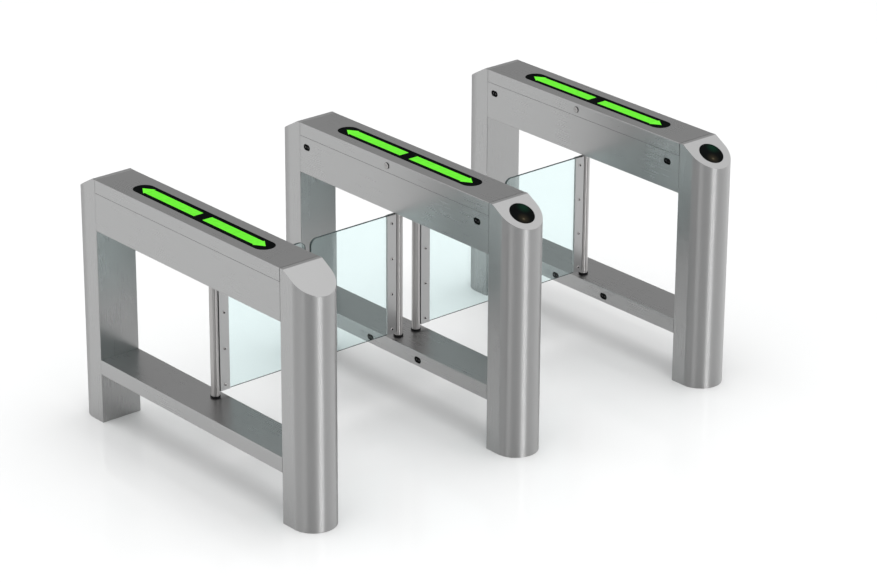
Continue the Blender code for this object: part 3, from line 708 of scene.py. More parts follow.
def lean(piece, sizes, end):
    """Move a piece drawn about the Z axis on to the slanted top, at the reader's place."""
    run = sizes.reader_place * math.cos(sizes.slant_angle)
    fall = sizes.reader_place * math.sin(sizes.slant_angle)
    place = (0, end * (sizes.leg_end - sizes.slant_run + run), sizes.height - fall)
    piece.matrix_world = Matrix.Translation(place) @ Matrix.Rotation(-end * sizes.slant_angle, 4, "X")
    return settle(piece)


class TURNSTILE_OT_legs(bpy.types.Operator):
    """Six hollow half-round legs with slanted tops"""

    bl_idname = "turnstile.legs"
    bl_label = "Legs"

    def execute(self, context):
        sizes = context.scene.turnstile_sizes
        looks = finishes()
        pattern = leg_pattern(sizes)
        for stand in PEDESTALS:
            for end_name, end in ENDS.items():
                leg = twin(pattern, half_turn=end < 0)
                wall = span(end, sizes.leg_face - 0.01, sizes.leg_face + 0.01)
                holes = [add_round(0.006, *wall, (0, height), "y", 32) for height in CABLE_HEIGHTS]
                holes.append(add_round(0.0033, *wall, (stand.hinge * PIVOT_X, PIVOT_Z), "y", 24))
                if end_name in stand.readers:
                    holes.append(lean(add_round(sizes.reader_radius, -0.01, 0.01, sides=96), sizes, end))
                coat(move(cut(leg, *holes), stand), looks["leg"])
                # Painted shade on the flats and painted light on the slant top: darker and lighter copies of
                # the same steel
                coat_faces(leg, looks["flat"], lambda face: is_flat(face, sizes.leg_face))
                coat_faces(leg, looks["slant"], lambda face: face.normal.z > 0.6 and face.center.z > 0.7)
                node = f"{stand.name}_{end_name}_leg"
                finish(leg, f"{node}_shell", "frame", None, STEEL, node)
        drop(pattern)
        return {"FINISHED"}


def folded_beam(sizes, stand, level, box, is_open, folds, radius, wall):
    """A folded steel beam with its eye holes, and a hole through one wall under or over each post."""
    half, (low, high) = sizes.width / 2, box
    beam = add_block((-half, low.y, low.z), (half, high.y, high.z))
    open_faces(beam, is_open)
    round_edges(beam, folds, sizes.fold, 5)
    thicken(beam, sizes.sheet)
    holes = eye_cutters(sizes, stand.lanes, level)
    for side in stand.lanes:
        holes.append(add_round(radius, wall - 0.01, wall + 0.01, (side * half / 2, sizes.wing_shift)))
    return cut(beam, *holes)


def eye_cutters(sizes, lanes, level):
    """Slots through the walls that face a walkway."""
    places, height = EYES[level]
    half = sizes.width / 2
    return [
        add_slot(sizes.eye_length, sizes.eye_height, *span(side, half - 0.01, half + 0.01), (y, height), "x")
        for side in lanes for y in places
    ]


class TURNSTILE_OT_upper_beams(bpy.types.Operator):
    """Three folded channels with their eye holes"""

    bl_idname = "turnstile.upper_beams"
    bl_label = "Upper beams"

    def execute(self, context):
        sizes = context.scene.turnstile_sizes
        steel = finishes()["side"]
        half = sizes.width / 2
        for stand in PEDESTALS:
            beam = folded_beam(
                sizes, stand, "upper", (BEAM_LOW, BEAM_HIGH),
                lambda face: face.normal.z > 0.9 or abs(face.normal.y) > 0.9,
                edges_along("y", lambda at: at.z < BEAM_LOW.z + 0.001), sizes.post_radius, BEAM_LOW.z,
            )
            keeper = add_slab(-stand.hinge, (half - 0.0095, half - 0.0006), (0.024, 0.032), (0.9253, 0.9268))
            weld(beam, keeper)
            node = f"{stand.name}_upper_beam"
            finish(move(beam, stand), f"{stand.name}_upper_channel", "frame", steel, STEEL, node)
        return {"FINISHED"}


class TURNSTILE_OT_lower_beams(bpy.types.Operator):
    """Three rectangular tubes between the legs"""

    bl_idname = "turnstile.lower_beams"
    bl_label = "Lower beams"

    def execute(self, context):
        sizes = context.scene.turnstile_sizes
        steel = finishes()["side"]
        for stand in PEDESTALS:
            tube = folded_beam(
                sizes, stand, "lower", (TUBE_LOW, TUBE_HIGH), lambda face: abs(face.normal.y) > 0.9,
                edges_along("y"), BUSH_HOLE, TUBE_HIGH.z,
            )
            node = f"{stand.name}_lower_beam"
            finish(move(tube, stand), f"{stand.name}_lower_tube", "frame", steel, STEEL, node)
        return {"FINISHED"}


class TURNSTILE_OT_sensors(bpy.types.Operator):
    """Eight sensor bars with oval lenses set into the walls"""

    bl_idname = "turnstile.sensors"
    bl_label = "Sensor eyes"

    def execute(self, context):
        sizes = context.scene.turnstile_sizes
        looks = finishes()
        for stand in PEDESTALS:
            for side, wing in stand.lanes.items():
                for level in EYES:
                    bar = sensor_bar(sizes, looks, side, level)
                    node = f"{wing}_{level}_sensor_bar"
                    finish(move(bar, stand), f"{wing}_{level}_eyes", "frame", None, "sensor_black", node)
        return {"FINISHED"}


def sensor_bar(sizes, looks, side, level):
    """A bar behind a wall, with two lenses that fill the wall's slots and two beads in each."""
    outer = sizes.width / 2 - sizes.sheet - FIT
    (front, rear), height = EYES[level]
    tall = (height - 0.016, height + 0.016)
    bar = add_slab(side, (outer - 0.002, outer), (front - 0.03, rear + 0.03), tall)
    round_edges(bar, every, 0.0004, 2)
    length, width = sizes.eye_length - 2 * FIT, sizes.eye_height - 2 * FIT
    for y in (front, rear):
        eye = add_slot(length, width, *span(side, outer - 0.001, outer + 0.0012), (y, height), "x")
        join(bar, recess(eye, faces_towards(x=side), 0.0028, 0.0006))
    coat(bar, looks["lens"])
    for y in (front, rear):
        for shift in (-0.0075, 0.0075):
            bead = add_dome(0.0040, 0.0007, (side * (outer + 0.0005), y + shift, height), (side, 0, 0))
            join(bar, coat(bead, looks["bead"]))
    return bar


class TURNSTILE_OT_covers(bpy.types.Operator):
    """Three folded covers with their display slots"""

    bl_idname = "turnstile.covers"
    bl_label = "Covers"

    def execute(self, context):
        sizes = context.scene.turnstile_sizes
        steel = finishes()["cover"]
        half, end, low = sizes.width / 2, sizes.leg_face - SEAM, COVER_LOW.z
        for stand in PEDESTALS:
            cover = add_block((-half, -end, low), (half, end, sizes.height))
            open_faces(cover, faces_towards(z=-1))
            round_edges(cover, edges_along("y", lambda at: at.z > low + 0.01), sizes.fold, 5)
            thicken(cover, sizes.sheet)
            slot = display_slot(sizes, FIT, sizes.height - 0.01, sizes.height + 0.01)
            skirt = span(-stand.hinge, half - 0.01, half + 0.01)
            cut(cover, slot, add_round(BORE, *skirt, LOCK_PLACE, "x", 32))
            for side in (-1, 1):
                pin = span(side, end - sizes.sheet - 0.004, end + 0.009)
                weld(cover, add_round(0.003, *pin, (stand.hinge * PIVOT_X, PIVOT_Z), "y", 24))
            body, node = f"{stand.name}_cover", f"{stand.name}_top_cover"
            finish(move(cover, stand), f"{body}_tray", body, steel, STEEL, node)
        return {"FINISHED"}


def display_slot(sizes, margin, low, high, sides=96):
    """The display's slot shape, grown by a margin."""
    length, width = sizes.display_length + 2 * margin, sizes.display_width + 2 * margin
    return add_slot(length, width, low, high, (0, sizes.display_shift), "z", sides)


def arrow_body(sizes, end, grow, low, high):
    """An arrow that points to one end, drawn out from its bar."""
    bar = sizes.arrow_bar / 2 + grow
    head = sizes.arrow_head / 2 + grow
    shoulder = sizes.display_shift + end * (ARROW_SHOULDER - grow)
    near, far = span(end, ARROW_START - grow, ARROW_SHOULDER - grow, sizes.display_shift)
    arrow = add_block((-bar, near, low), (bar, far, high))
    front = faces_towards(y=end)

    def squeeze(kind, choose, share):
        """Make what a test chooses wider or narrower."""
        size, middle = (share, 1, 1), (0, shoulder, 0)
        shape(arrow, kind, choose, lambda: bpy.ops.transform.resize(value=size, center_override=middle))

    draw_out(arrow, front, (0, 0, 0))
    squeeze("FACE", front, head / bar)
    tip = ARROW_HEAD + 2 * grow
    draw_out(arrow, front, (0, end * tip, 0))
    squeeze("VERT", lambda corner: abs(corner.co.y - shoulder - end * tip) < 0.0005, 0.0001)
    merge_corners(arrow, 0.0001)
    shape(arrow, "FACE", every, lambda: bpy.ops.mesh.normals_make_consistent(inside=False))
    return merge_flats(arrow)


class TURNSTILE_OT_displays(bpy.types.Operator):
    """Three black windows with two lit arrows each"""

    bl_idname = "turnstile.displays"
    bl_label = "Displays"

    def execute(self, context):
        sizes = context.scene.turnstile_sizes
        looks = finishes()
        top = sizes.height
        under = top - sizes.sheet - FIT
        board_top = under - 0.0033
        for stand in PEDESTALS:
            body = f"{stand.name}_cover"
            window = display_slot(sizes, 0, under - 0.003, top)
            round_edges(window, edges_above(top - 0.0001), 0.0005, 2)
            weld(window, display_slot(sizes, DISPLAY_FLANGE, under - 0.003, under - 0.0001))
            cut(window, *[arrow_body(sizes, end, FIT, top - 0.02, top + 0.01) for end in ENDS.values()])
            node = f"{stand.name}_display_window"
            finish(move(window, stand), f"{stand.name}_window", body, looks["window"], "display_black", node)
            board = display_slot(sizes, DISPLAY_FLANGE, board_top - 0.008, board_top, 48)
            arrows = [arrow_body(sizes, end, 0, board_top - 0.0006, top - 0.0002) for end in ENDS.values()]
            coat(board, looks["nylon"])
            for arrow in arrows:
                # Painted highlight: a border round each arrow's face glows brighter than the face itself
                coat(recess(arrow, faces_towards(z=1), 0.0022, 0), looks["rim_painted_highlight"])
                coat_faces(arrow, looks["arrow"], lambda face: face.normal.z > 0.9 and face.area > 0.005)
            join(board, *arrows)
            node = f"{stand.name}_arrow_light"
            finish(move(board, stand), f"{stand.name}_arrows", body, None, "arrow_green", node)
        return {"FINISHED"}


class TURNSTILE_OT_readers(bpy.types.Operator):
    """Four round reader windows in the slanted leg tops"""

    bl_idname = "turnstile.readers"
    bl_label = "Readers"

    def execute(self, context):
        sizes = context.scene.turnstile_sizes
        looks = finishes()
        for stand in PEDESTALS:
            for end_name in stand.readers:
                end = ENDS[end_name]
                reader = add_round(sizes.reader_radius - FIT, -0.0048, 0, sides=96)
                round_edges(reader, edges_above(-0.0001), 0.0008, 3)
                flange = add_round(sizes.reader_radius + 0.004, -0.0048, -0.0018, sides=64)
                module = add_block((-0.03, -0.03, -0.0228), (0.03, 0.03, -0.0042))
                round_edges(module, edges_along("z"), 0.003, 3)
                weld(reader, flange, module)
                map_face(reader, sizes.reader_radius, end)
                move(lean(reader, sizes, end), stand)
                node = f"{stand.name}_{end_name}_reader"
                finish(reader, f"{node}_window", "frame", looks["reader"], "reader_black", node)
        return {"FINISHED"}


def map_face(reader, radius, end):
    """A flat map of the round window, with up pointing up the slope, for the painted glow and glint on it."""
    face = reader.data.uv_layers.new(name="face")
    for loop in reader.data.loops:
        place = reader.data.vertices[loop.vertex_index].co
        face.data[loop.index].uv = (-end * place.x / radius, -end * place.y / radius)


class TURNSTILE_OT_locks(bpy.types.Operator):
    """Three cover locks with a key slot outside and a hooked cam inside"""

    bl_idname = "turnstile.locks"
    bl_label = "Cover locks"

    def execute(self, context):
        sizes = context.scene.turnstile_sizes
        looks = finishes()
        outer = sizes.width / 2 + FIT
        tongue = (0.94875, 0.96075)
        for stand in PEDESTALS:
            side = -stand.hinge
            lock = add_round(sizes.lock_radius, *span(side, outer, outer + 0.0025), LOCK_PLACE, "x", 64)
            round_edges(lock, lambda edge: all(abs(c.co.x) > outer + 0.002 for c in edge.verts), 0.0008, 3)
            recess(lock, faces_towards(x=side), 0.0045, 0.0005)
            barrel = add_round(0.009, *span(side, 0.0725, outer + 0.0012), LOCK_PLACE, "x", 48)
            cam = add_slab(side, (0.0715, 0.0735), (0.022, 0.062), tongue)
            hook = add_slab(side, (0.0725, 0.0815), (0.060, 0.062), tongue)
            weld(lock, barrel, cam, hook)
            cut(lock, add_slot(0.009, 0.002, *span(side, outer + 0.0005, outer + 0.01), LOCK_PLACE, "x", 24))
            coat(lock, looks["lock"])
            # Painted shade: a black ring round the edge of the lock's head
            coat_faces(lock, looks["nylon"], lambda face: on_rim(face, side, outer, sizes.lock_radius))
            body, node = f"{stand.name}_lock", f"{stand.name}_cover_lock"
            finish(move(lock, stand), f"{body}_barrel", body, None, "lock_chrome", node)
        return {"FINISHED"}


def on_rim(face, side, outer, radius):
    """A test for the outer ring of a lock's head, coated black: painted shade round its rim."""
    off = math.hypot(face.center.y - LOCK_PLACE[0], face.center.z - LOCK_PLACE[1])
    return side * face.center.x > outer - 0.0001 and off > radius - 0.0021


def screw_heights():
    """Heights of the four screws of a wing."""
    first, last = GLASS_LOW.z + 0.0216, GLASS_HIGH.z - 0.0324
    return [first + (last - first) * index / 3 for index in range(4)]


def each_wing(sizes):
    """Name, side and axis place of every wing."""
    for stand in PEDESTALS:
        for side, wing in stand.lanes.items():
            yield wing, side, Vector((stand.place * LANE_PITCH + side * sizes.width / 4, sizes.wing_shift, 0))


def screw_cutters(side, at, radius):
    """Rods through a wing where its screws go."""
    x = at.x + side * SCREW_LINE
    return [add_round(radius, at.y - 0.03, at.y + 0.03, (x, z), "y", 24) for z in screw_heights()]


def clamp_slab(side, at, reach, near, far):
    """A slab as high as the glass, between two distances from a post's axis in X and in Y."""
    return add_slab(side, reach, (at.y + near, at.y + far), (GLASS_LOW.z, GLASS_HIGH.z), at.x)


class TURNSTILE_OT_posts(bpy.types.Operator):
    """Four wing posts with their welded back plates"""

    bl_idname = "turnstile.posts"
    bl_label = "Wing posts"

    def execute(self, context):
        sizes = context.scene.turnstile_sizes
        looks = finishes()
        gap = sizes.glass_sheet / 2 + FIT
        for wing, side, at in each_wing(sizes):
            centre = (at.x, at.y)
            post = add_round(sizes.post_radius, 0.2646, 0.7768, centre, sides=64)
            round_edges(post, corner_edges(60), 0.0008, 2)
            spindle = add_round(0.009, POST_LOW.z, POST_HIGH.z, centre, sides=48)
            round_edges(spindle, corner_edges(60), 0.0006, 2)
            plate = clamp_slab(side, at, (0.008, sizes.strip_far - 0.0045), gap, gap + sizes.strip_sheet)
            round_edges(plate, every, 0.0008, 2)
            cut(plate, *screw_cutters(side, at, 0.0033))
            coat(weld(post, spindle, plate), looks["post"])
            pad = at.y + gap
            coat_faces(
                post, looks["pad"], lambda face: face.normal.y < -0.99 and abs(face.center.y - pad) < 0.0001
            )
            finish(post, f"{wing}_post", f"{wing}_wing", None, STEEL, f"{wing}_wing_post")
        return {"FINISHED"}


class TURNSTILE_OT_strips(bpy.types.Operator):
    """Four clamp strips with their screws and nuts"""

    bl_idname = "turnstile.strips"
    bl_label = "Clamp strips and screws"

    def execute(self, context):
        sizes = context.scene.turnstile_sizes
        looks = finishes()
        gap = sizes.glass_sheet / 2 + FIT
        for wing, side, at in each_wing(sizes):
            strip = clamp_slab(side, at, (sizes.strip_near, sizes.strip_far), -gap - sizes.strip_sheet, -gap)
            round_edges(strip, every, 0.0008, 2)
            coat(cut(strip, *screw_cutters(side, at, 0.0033)), looks["strip"])
            coat_faces(strip, looks["pad"], faces_towards(y=1))
            finish(strip, f"{wing}_strip", f"{wing}_wing", None, STEEL, f"{wing}_clamp_strip")
        screw, nut = screw_pattern(sizes), nut_pattern()
        for wing, side, at in each_wing(sizes):
            for number, height in enumerate(screw_heights(), 1):
                middle = Vector((at.x + side * SCREW_LINE, at.y, height))
                front = twin(screw, middle - Vector((0, gap + sizes.strip_sheet, 0)))
                paint_socket(front, middle.y - gap - sizes.strip_sheet, looks)
                finish(front, f"{wing}_screw_{number}", f"{wing}_wing", None, STEEL)
                back = twin(nut, middle + Vector((0, gap + sizes.strip_sheet, 0)))
                finish(back, f"{wing}_nut_{number}", f"{wing}_wing", looks["screw"], STEEL)
        drop(screw, nut)
        return {"FINISHED"}


def screw_pattern(sizes):
    """A button head with a hexagon socket, seated on the plane y = 0 and facing the front."""
    shank = add_round(0.0028, -0.0005, 0.0150, along="y", sides=24)
    head = add_round(sizes.screw_radius, -0.0030, 0, along="y", sides=40)
    round_edges(head, lambda edge: all(c.co.y < -0.0029 for c in edge.verts), 0.0018, 4)
    weld(head, shank)
    return cut(head, add_round(0.0026, -0.01, -0.0008, along="y", sides=6))


def paint_socket(screw, face_y, looks):
    """Polished head; the socket's inner faces are coated near black, painted shade in the recess."""
    centre = sum((Vector(corner) for corner in screw.bound_box), Vector()) / 8

    def inside(face):
        off = math.hypot(face.center.x - centre.x, face.center.z - centre.z)
        return off < 0.00245 and face.center.y < face_y - 0.0003

    coat_faces(coat(screw, looks["screw"]), looks["socket"], inside)


def nut_pattern():
    """A domed hexagon nut, seated on the plane y = 0 and facing the rear."""
    nut = add_round(0.0058, 0, 0.0035, along="y", sides=6)
    round_edges(nut, corner_edges(30), 0.0005, 2)
    return weld(nut, add_dome(0.0046, 0.0046, (0, 0.003, 0), (0, 1, 0)))


class TURNSTILE_OT_glass(bpy.types.Operator):
    """Four glass panels with round corners and polished edges"""

    bl_idname = "turnstile.glass"
    bl_label = "Glass panels"

    def execute(self, context):
        sizes = context.scene.turnstile_sizes
        looks = finishes()
        half = sizes.glass_sheet / 2
        reach = (sizes.strip_near, sizes.strip_near + GLASS_HIGH.x - GLASS_LOW.x)
        for wing, side, at in each_wing(sizes):
            panel = clamp_slab(side, at, reach, -half, half)
            outer, screws = at.x + side * reach[1], at.x + side * SCREW_LINE
            corners = edges_along("y", lambda place: abs(place.x - outer) < 0.001)
            round_edges(panel, corners, sizes.glass_corner, 14)
            round_edges(panel, corner_edges(60), 0.0007, 1)
            coat(cut(panel, *screw_cutters(side, at, 0.006)), looks["glass"])
            # Painted shade: the panel's edges take the near-black edge material
            coat_faces(panel, looks["edge"], lambda face: is_rim(face, screws))
            finish(panel, f"{wing}_panel", f"{wing}_wing", None, "clear_glass", f"{wing}_wing_glass")
        return {"FINISHED"}


def is_rim(face, screws):
    """A test for the edges of a panel, without the walls of its screw holes."""
    return abs(face.normal.y) < 0.9 and abs(face.center.x - screws) > 0.01


class TURNSTILE_OT_bushes(bpy.types.Operator):
    """Four black bushes with collars round the posts' feet"""

    bl_idname = "turnstile.bushes"
    bl_label = "Bushes"

    def execute(self, context):
        nylon = finishes()["nylon"]
        for wing, _, at in each_wing(context.scene.turnstile_sizes):
            centre = (at.x, at.y)
            bush = add_round(0.019, 0.2583, 0.2643, centre, sides=64)
            round_edges(bush, edges_above(0.264), 0.0015, 3)
            weld(bush, add_round(0.013, 0.236, 0.26, centre, sides=48))
            cut(bush, add_round(BORE, 0.2, 0.3, centre, sides=48))
            finish(bush, f"{wing}_bush", "frame", nylon, "black_nylon", f"{wing}_lower_bush")
        return {"FINISHED"}


class TURNSTILE_OT_seals(bpy.types.Operator):
    """Rubber seals on the rims of the upper beams, and grommets in the cable holes of the legs"""

    bl_idname = "turnstile.seals"
    bl_label = "Seals and grommets"

    def execute(self, context):
        sizes = context.scene.turnstile_sizes
        rubber = finishes()["rubber"]
        half, base = sizes.width / 2, BEAM_HIGH.z + 0.0001
        grommet = grommet_pattern(sizes)
        for stand in PEDESTALS:
            strips = []
            for side in (-1, 1):
                rise = 0.0005 if side == stand.hinge else 0.0009
                wall = (half - sizes.sheet + 0.0001, half - FIT)
                strip = add_slab(side, wall, (BEAM_LOW.y + 0.001, BEAM_HIGH.y - 0.001), (base, base + rise))
                top = base + rise - 0.0001
                strips.append(round_edges(strip, edges_along("y", lambda at, top=top: at.z > top), 0.0002, 2))
            seal = move(join(*strips), stand)
            finish(seal, f"{stand.name}_cover_seal", "frame", rubber, "black_nylon")
            for end_name, end in ENDS.items():
                rings = [twin(grommet, (0, 0, height), half_turn=end < 0) for height in CABLE_HEIGHTS]
                pair = move(join(*rings), stand)
                finish(pair, f"{stand.name}_{end_name}_grommets", "frame", rubber, "black_nylon")
        drop(grommet)
        return {"FINISHED"}


def grommet_pattern(sizes):
    """A rubber ring with a lip on each side of a rear leg's inner face."""
    face, back = sizes.leg_face, sizes.leg_face + sizes.sheet
    ring = add_round(0.0057, face - 0.0012, back + 0.0012, along="y", sides=40)
    for low, high in ((face - 0.0015, face - 0.0002), (back + 0.0002, back + 0.0015)):
        lip = add_round(0.0085, low, high, along="y", sides=40)
        weld(ring, round_edges(lip, corner_edges(60), 0.0005, 2))
    return cut(ring, add_round(0.0040, face - 0.01, face + 0.01, along="y", sides=32))


class TURNSTILE_OT_drives(bpy.types.Operator):
    """Four gear motors over the wing posts"""

    bl_idname = "turnstile.drives"
    bl_label = "Gear motors"

    def execute(self, context):
        drive = drive_pattern(finishes())
        for wing, _, at in each_wing(context.scene.turnstile_sizes):
            finish(twin(drive, at), f"{wing}_drive", "frame", None, "gearmotor_steel", f"{wing}_gearmotor")
        drop(drive)
        return {"FINISHED"}


def square_block(half, low, high):
    """A block with a square plan about the Z axis."""
    return add_block((-half, -half, low), (half, half, high))


def drive_pattern(looks):
    """A ribbed gearbox on its flange, the round motor, its encoder cap and its plug."""
    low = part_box("right_gearmotor")[0].z
    box = square_block(0.030, low, low + 0.056)
    round_edges(box, edges_along("z"), 0.006, 4)
    round_edges(box, edges_above(low + 0.055), 0.0012, 2)
    flange = square_block(0.035, low, low + 0.006)
    weld(box, round_edges(flange, edges_along("z"), 0.006, 4))
    for level in (0.016, 0.026, 0.036, 0.046):
        rib = square_block(0.040, low + level, low + level + 0.0045)
        core = square_block(0.0285, low + level - 0.01, low + level + 0.015)
        cut(box, cut(rib, round_edges(core, edges_along("z"), 0.005, 4)))
    cut(box, add_round(BORE, low - 0.01, POST_HIGH.z + 0.0006, sides=48))
    motor = add_round(0.028, low + 0.0561, low + 0.112, sides=72)
    round_edges(motor, corner_edges(60), 0.0012, 2)
    for level in (0.062, 0.104):
        rim = add_round(0.030, low + level, low + level + 0.0012, sides=72)
        cut(motor, cut(rim, add_round(0.0272, low + level - 0.01, low + level + 0.01, sides=72)))
    cap = add_round(0.021, low + 0.1121, low + 0.124, sides=64)
    round_edges(cap, edges_above(low + 0.12), 0.002, 3)
    plug = add_block((-0.009, 0.0275, low + 0.088), (0.009, 0.038, low + 0.102))
    round_edges(plug, every, 0.001, 2)
    cut(plug, add_block((-0.007, 0.034, low + 0.090), (0.007, 0.05, low + 0.100)))
    screws = []
    for x in (-0.0305, 0.0305):
        for y in (-0.0305, 0.0305):
            head = add_round(0.0032, low + 0.006, low + 0.0092, (x, y), sides=24)
            round_edges(head, edges_above(low + 0.009), 0.0006, 2)
            cut(head, add_round(0.0015, low + 0.0075, low + 0.02, (x, y), sides=6))
            screws.append(coat(head, looks["screw"]))
    for piece, look in ((box, "casting"), (motor, "motor"), (cap, "nylon"), (plug, "nylon")):
        coat(piece, looks[look])
    return join(box, motor, cap, plug, *screws)


class TURNSTILE_OT_boards(bpy.types.Operator):
    """Three control boards with supply, relays, terminals and capacitors"""

    bl_idname = "turnstile.boards"
    bl_label = "Control boards"

    def execute(self, context):
        pattern = board_pattern(finishes())
        for stand in PEDESTALS:
            board = move(twin(pattern), stand)
            node = f"{stand.name}_control_board"
            finish(board, f"{stand.name}_board", "frame", None, "circuit_board", node)
        drop(pattern)
        return {"FINISHED"}


def board_pattern(looks):
    """The board on its stand-offs and all that is soldered to it."""
    low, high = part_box("middle_control_board")
    under, top = low.z + 0.012, low.z + 0.0136
    plate = add_block((low.x, low.y, under), (high.x, high.y, top))
    round_edges(plate, edges_along("z"), 0.003, 3)
    parts = []
    for x in (low.x + 0.010, high.x - 0.010):
        for y in (low.y + 0.010, high.y - 0.010):
            post = add_round(0.0040, low.z, under, (x, y), sides=6)
            parts.append(coat(round_edges(post, corner_edges(60), 0.0004, 2), looks["screw"]))
            parts.append(coat(add_dome(0.0032, 0.0018, (x, y, top), (0, 0, 1)), looks["screw"]))
    parts += [supply_case(low, top, looks), *relays(low, top, looks), *terminals(low, top, looks)]
    for share in (0.58, 0.72, 0.86):
        can = add_round(0.0062, top, top + 0.020, (-0.0135, low.y + share * (high.y - low.y)), sides=40)
        round_edges(can, edges_above(top + 0.019), 0.0010, 2)
        coat(recess(can, faces_towards(z=1), 0.0012, 0.0004), looks["nylon"])
        parts.append(coat_faces(can, looks["screw"], lambda face: face.normal.z > 0.9))
    for y, half in ((low.y + 0.125, 0.0060), (high.y - 0.020, 0.0045)):
        chip = add_block((0.046 - half, y - half, top), (0.046 + half, y + half, top + 0.0016))
        parts.append(coat(round_edges(chip, every, 0.0003, 1), looks["nylon"]))
    return join(coat(plate, looks["board"]), *parts)


def supply_case(low, top, looks):
    """A folded metal case with rows of vents in its top."""
    case = add_block((-0.048, low.y + 0.0138, top), (0.048, low.y + 0.1058, top + 0.042))
    round_edges(case, lambda edge: corner_edges(60)(edge) and edges_above(top + 0.01, max)(edge), 0.0015, 3)
    vents = []
    for row in range(2):
        for number in range(7):
            x, y = -0.022 + row * 0.044, low.y + 0.026 + number * 0.0112
            vents.append(add_block((x - 0.017, y, top + 0.039), (x + 0.017, y + 0.004, top + 0.05)))
    return coat(cut(case, *vents), looks["supply"])


def relays(low, top, looks):
    """Four relays in a row."""
    for number in range(4):
        y = low.y + 0.1242 + number * 0.0232
        relay = add_block((0.0024, y, top), (0.0360, y + 0.0218, top + 0.018))
        round_edges(relay, every, 0.0010, 2)
        yield coat(recess(relay, faces_towards(z=1), 0.0014, 0.0003), looks["relay"])


def terminals(low, top, looks):
    """A row of screw terminals."""
    for number in range(8):
        y = low.y + 0.1242 + number * 0.0115
        block = add_block((-0.0456, y, top), (-0.0288, y + 0.0112, top + 0.012))
        round_edges(block, edges_along("y", lambda at: at.z > top + 0.011), 0.0022, 2)
        cut(block, add_round(0.0028, top + 0.009, top + 0.02, (-0.0372, y + 0.0056), sides=20))
        screw = add_dome(0.0024, 0.0012, (-0.0372, y + 0.0056, top + 0.009), (0, 0, 1), 16)
        yield join(coat(block, looks["terminal"]), coat(screw, looks["screw"]))


# Stage

# The camera that fits the photograph: lens and sensor width in millimetres, place and axes
LENS, SENSOR = 140.78, 36
CAMERA_PLACE = (-7.72925, -9.16205, 5.50163)
CAMERA_RIGHT = Vector((0.75970, -0.65026, 0.00500))
CAMERA_UP = Vector((0.24972, 0.29883, 0.92105))
CAMERA_AIM = Vector((0.60042, 0.69847, -0.38941))

# Brightness round the horizon, by share of a turn from -X: a dark panel stands beside the camera
AROUND = (
    (0.000, 0.95), (0.040, 1.10), (0.085, 0.16), (0.160, 0.16), (0.205, 1.30), (0.240, 1.60), (0.268, 1.20),
    (0.300, 0.85), (0.345, 0.98), (0.430, 1.35), (0.507, 1.70), (0.575, 0.51), (0.636, 0.435), (0.720, 0.55),
    (0.861, 1.40), (0.939, 0.82), (1.000, 0.92),
)
# Brightness overhead, by the height of the direction
ABOVE = ((0.45, 0.58), (0.62, 0.92), (0.80, 1.12), (0.90, 1.45), (1.00, 1.55))
LIGHT = 2.0


def add_lamp(name, kind, place, power, **settings):
    """A lamp that the camera doesn't see, only its light and its image in what mirrors it."""
    lamp = bpy.data.lights.new(name, kind)
    lamp.energy = power
    for key, value in settings.items():
        setattr(lamp, key, value)
    item = bpy.data.objects.new(name, lamp)
    bpy.context.scene.collection.objects.link(item)
    item.visible_camera = False
    item.location = place
    return item


def greys(stops):
    """Stops of a ramp, from places and brightness."""
    return [(place, (brightness / LIGHT,) * 3) for place, brightness in stops]


def sky(tree):
    """Soft studio light: panels round the horizon, and a bright ceiling."""
    place = tree.nodes.new("ShaderNodeTexCoord").outputs["Generated"]
    axes = add_node(tree, "ShaderNodeSeparateXYZ", {"Vector": place}).outputs
    turn = add_node(tree, "ShaderNodeMath", {0: axes["Y"], 1: axes["X"]}, operation="ARCTAN2")
    values = {"Value": turn.outputs["Value"], "From Min": -math.pi, "From Max": math.pi}
    share = add_node(tree, "ShaderNodeMapRange", values)
    values = {"Value": axes["Z"], "From Min": 0.45, "From Max": 0.70}
    rise = add_node(tree, "ShaderNodeMapRange", values, interpolation_type="SMOOTHSTEP")
    mix = add_node(tree, "ShaderNodeMix", {
        "Factor": rise.outputs["Result"],
        "A": ramp(tree, share.outputs["Result"], greys(AROUND), "EASE"),
        "B": ramp(tree, axes["Z"], greys(ABOVE), "EASE"),
    }, data_type="RGBA")
    feed(tree, tree.nodes["Background"], {"Color": mix.outputs["Result"], "Strength": LIGHT})


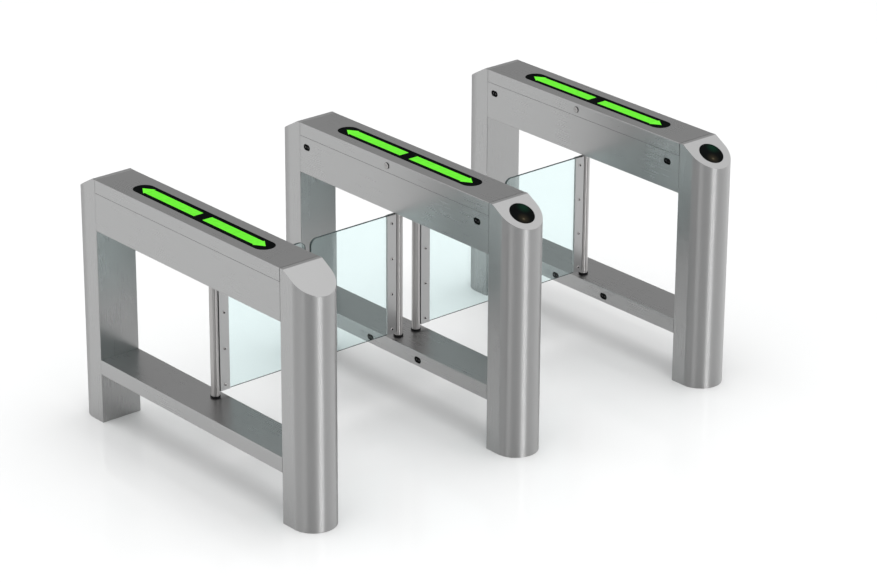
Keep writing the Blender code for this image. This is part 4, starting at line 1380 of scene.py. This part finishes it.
class TURNSTILE_OT_stage(bpy.types.Operator):
    """Pale floor, soft light and the camera"""

    bl_idname = "turnstile.stage"
    bl_label = "Stage"

    def execute(self, context):
        scene = context.scene
        take()
        bpy.ops.mesh.primitive_plane_add(size=60, location=(0, 0, -0.0005))
        floor = settle(context.object)
        floor.name = floor.data.name = "floor"
        floor.data.materials.append(pale_floor("pale_floor", tuple(scene.turnstile_colours.floor)))
        floor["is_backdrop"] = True
        scene.world = bpy.data.worlds.new("studio")
        scene.world.use_nodes = True
        sky(scene.world.node_tree)
        panel = {"shape": "RECTANGLE", "size": 4.2, "size_y": 0.94}
        front = add_lamp("low_front_panel", "AREA", (-1.15, -11.94, 0.47), 170, **panel)
        front.rotation_euler = (Vector((0, 0, 0.47)) - front.location).to_track_quat("-Z", "Y").to_euler()
        # Light from straight above for what isn't metal: the steel mirrors the plain ceiling instead
        ceiling = add_lamp("ceiling_light", "SUN", (0, 0, 6), 0.8, angle=0.9)
        ceiling.visible_glossy = False
        camera = bpy.data.cameras.new("camera")
        camera.sensor_width = SENSOR
        camera.lens = LENS
        item = bpy.data.objects.new("camera", camera)
        scene.collection.objects.link(item)
        axes = Matrix((CAMERA_RIGHT, CAMERA_UP, -CAMERA_AIM)).transposed().to_4x4()
        item.matrix_world = Matrix.Translation(CAMERA_PLACE) @ axes
        scene.camera = item
        scene.view_settings.view_transform = "Standard"
        return {"FINISHED"}


class TURNSTILE_PT_panel(bpy.types.Panel):
    """Sizes, colours and the operators that build the turnstile"""

    bl_idname = "TURNSTILE_PT_panel"
    bl_label = "Smart turnstile"
    bl_space_type = "VIEW_3D"
    bl_region_type = "UI"
    bl_category = "Turnstile"

    def draw(self, context):
        layout = self.layout
        for group in (context.scene.turnstile_sizes, context.scene.turnstile_colours):
            box = layout.box()
            for name in group.__annotations__:
                box.prop(group, name)
        for operator in OPERATORS:
            layout.operator(operator.bl_idname)


OPERATORS = (
    TURNSTILE_OT_legs,
    TURNSTILE_OT_upper_beams,
    TURNSTILE_OT_lower_beams,
    TURNSTILE_OT_sensors,
    TURNSTILE_OT_covers,
    TURNSTILE_OT_displays,
    TURNSTILE_OT_readers,
    TURNSTILE_OT_locks,
    TURNSTILE_OT_posts,
    TURNSTILE_OT_strips,
    TURNSTILE_OT_glass,
    TURNSTILE_OT_bushes,
    TURNSTILE_OT_seals,
    TURNSTILE_OT_drives,
    TURNSTILE_OT_boards,
    TURNSTILE_OT_stage,
)
CLASSES = (TurnstileSizes, TurnstileColours, *OPERATORS, TURNSTILE_PT_panel)


def register():
    for item in CLASSES:
        bpy.utils.register_class(item)
    bpy.types.Scene.turnstile_sizes = PointerProperty(type=TurnstileSizes)
    bpy.types.Scene.turnstile_colours = PointerProperty(type=TurnstileColours)


def unregister():
    del bpy.types.Scene.turnstile_colours
    del bpy.types.Scene.turnstile_sizes
    for item in reversed(CLASSES):
        bpy.utils.unregister_class(item)


def main():
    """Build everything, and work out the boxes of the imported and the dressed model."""
    register()
    for operator in OPERATORS:
        group, name = operator.bl_idname.split(".")
        getattr(getattr(bpy.ops, group), name)()
    boxes = {"cad": cad_bounds, "visual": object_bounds()}
    {key: [list(corner) for corner in box] for key, box in boxes.items()}


if __name__ == "__main__":
    main()
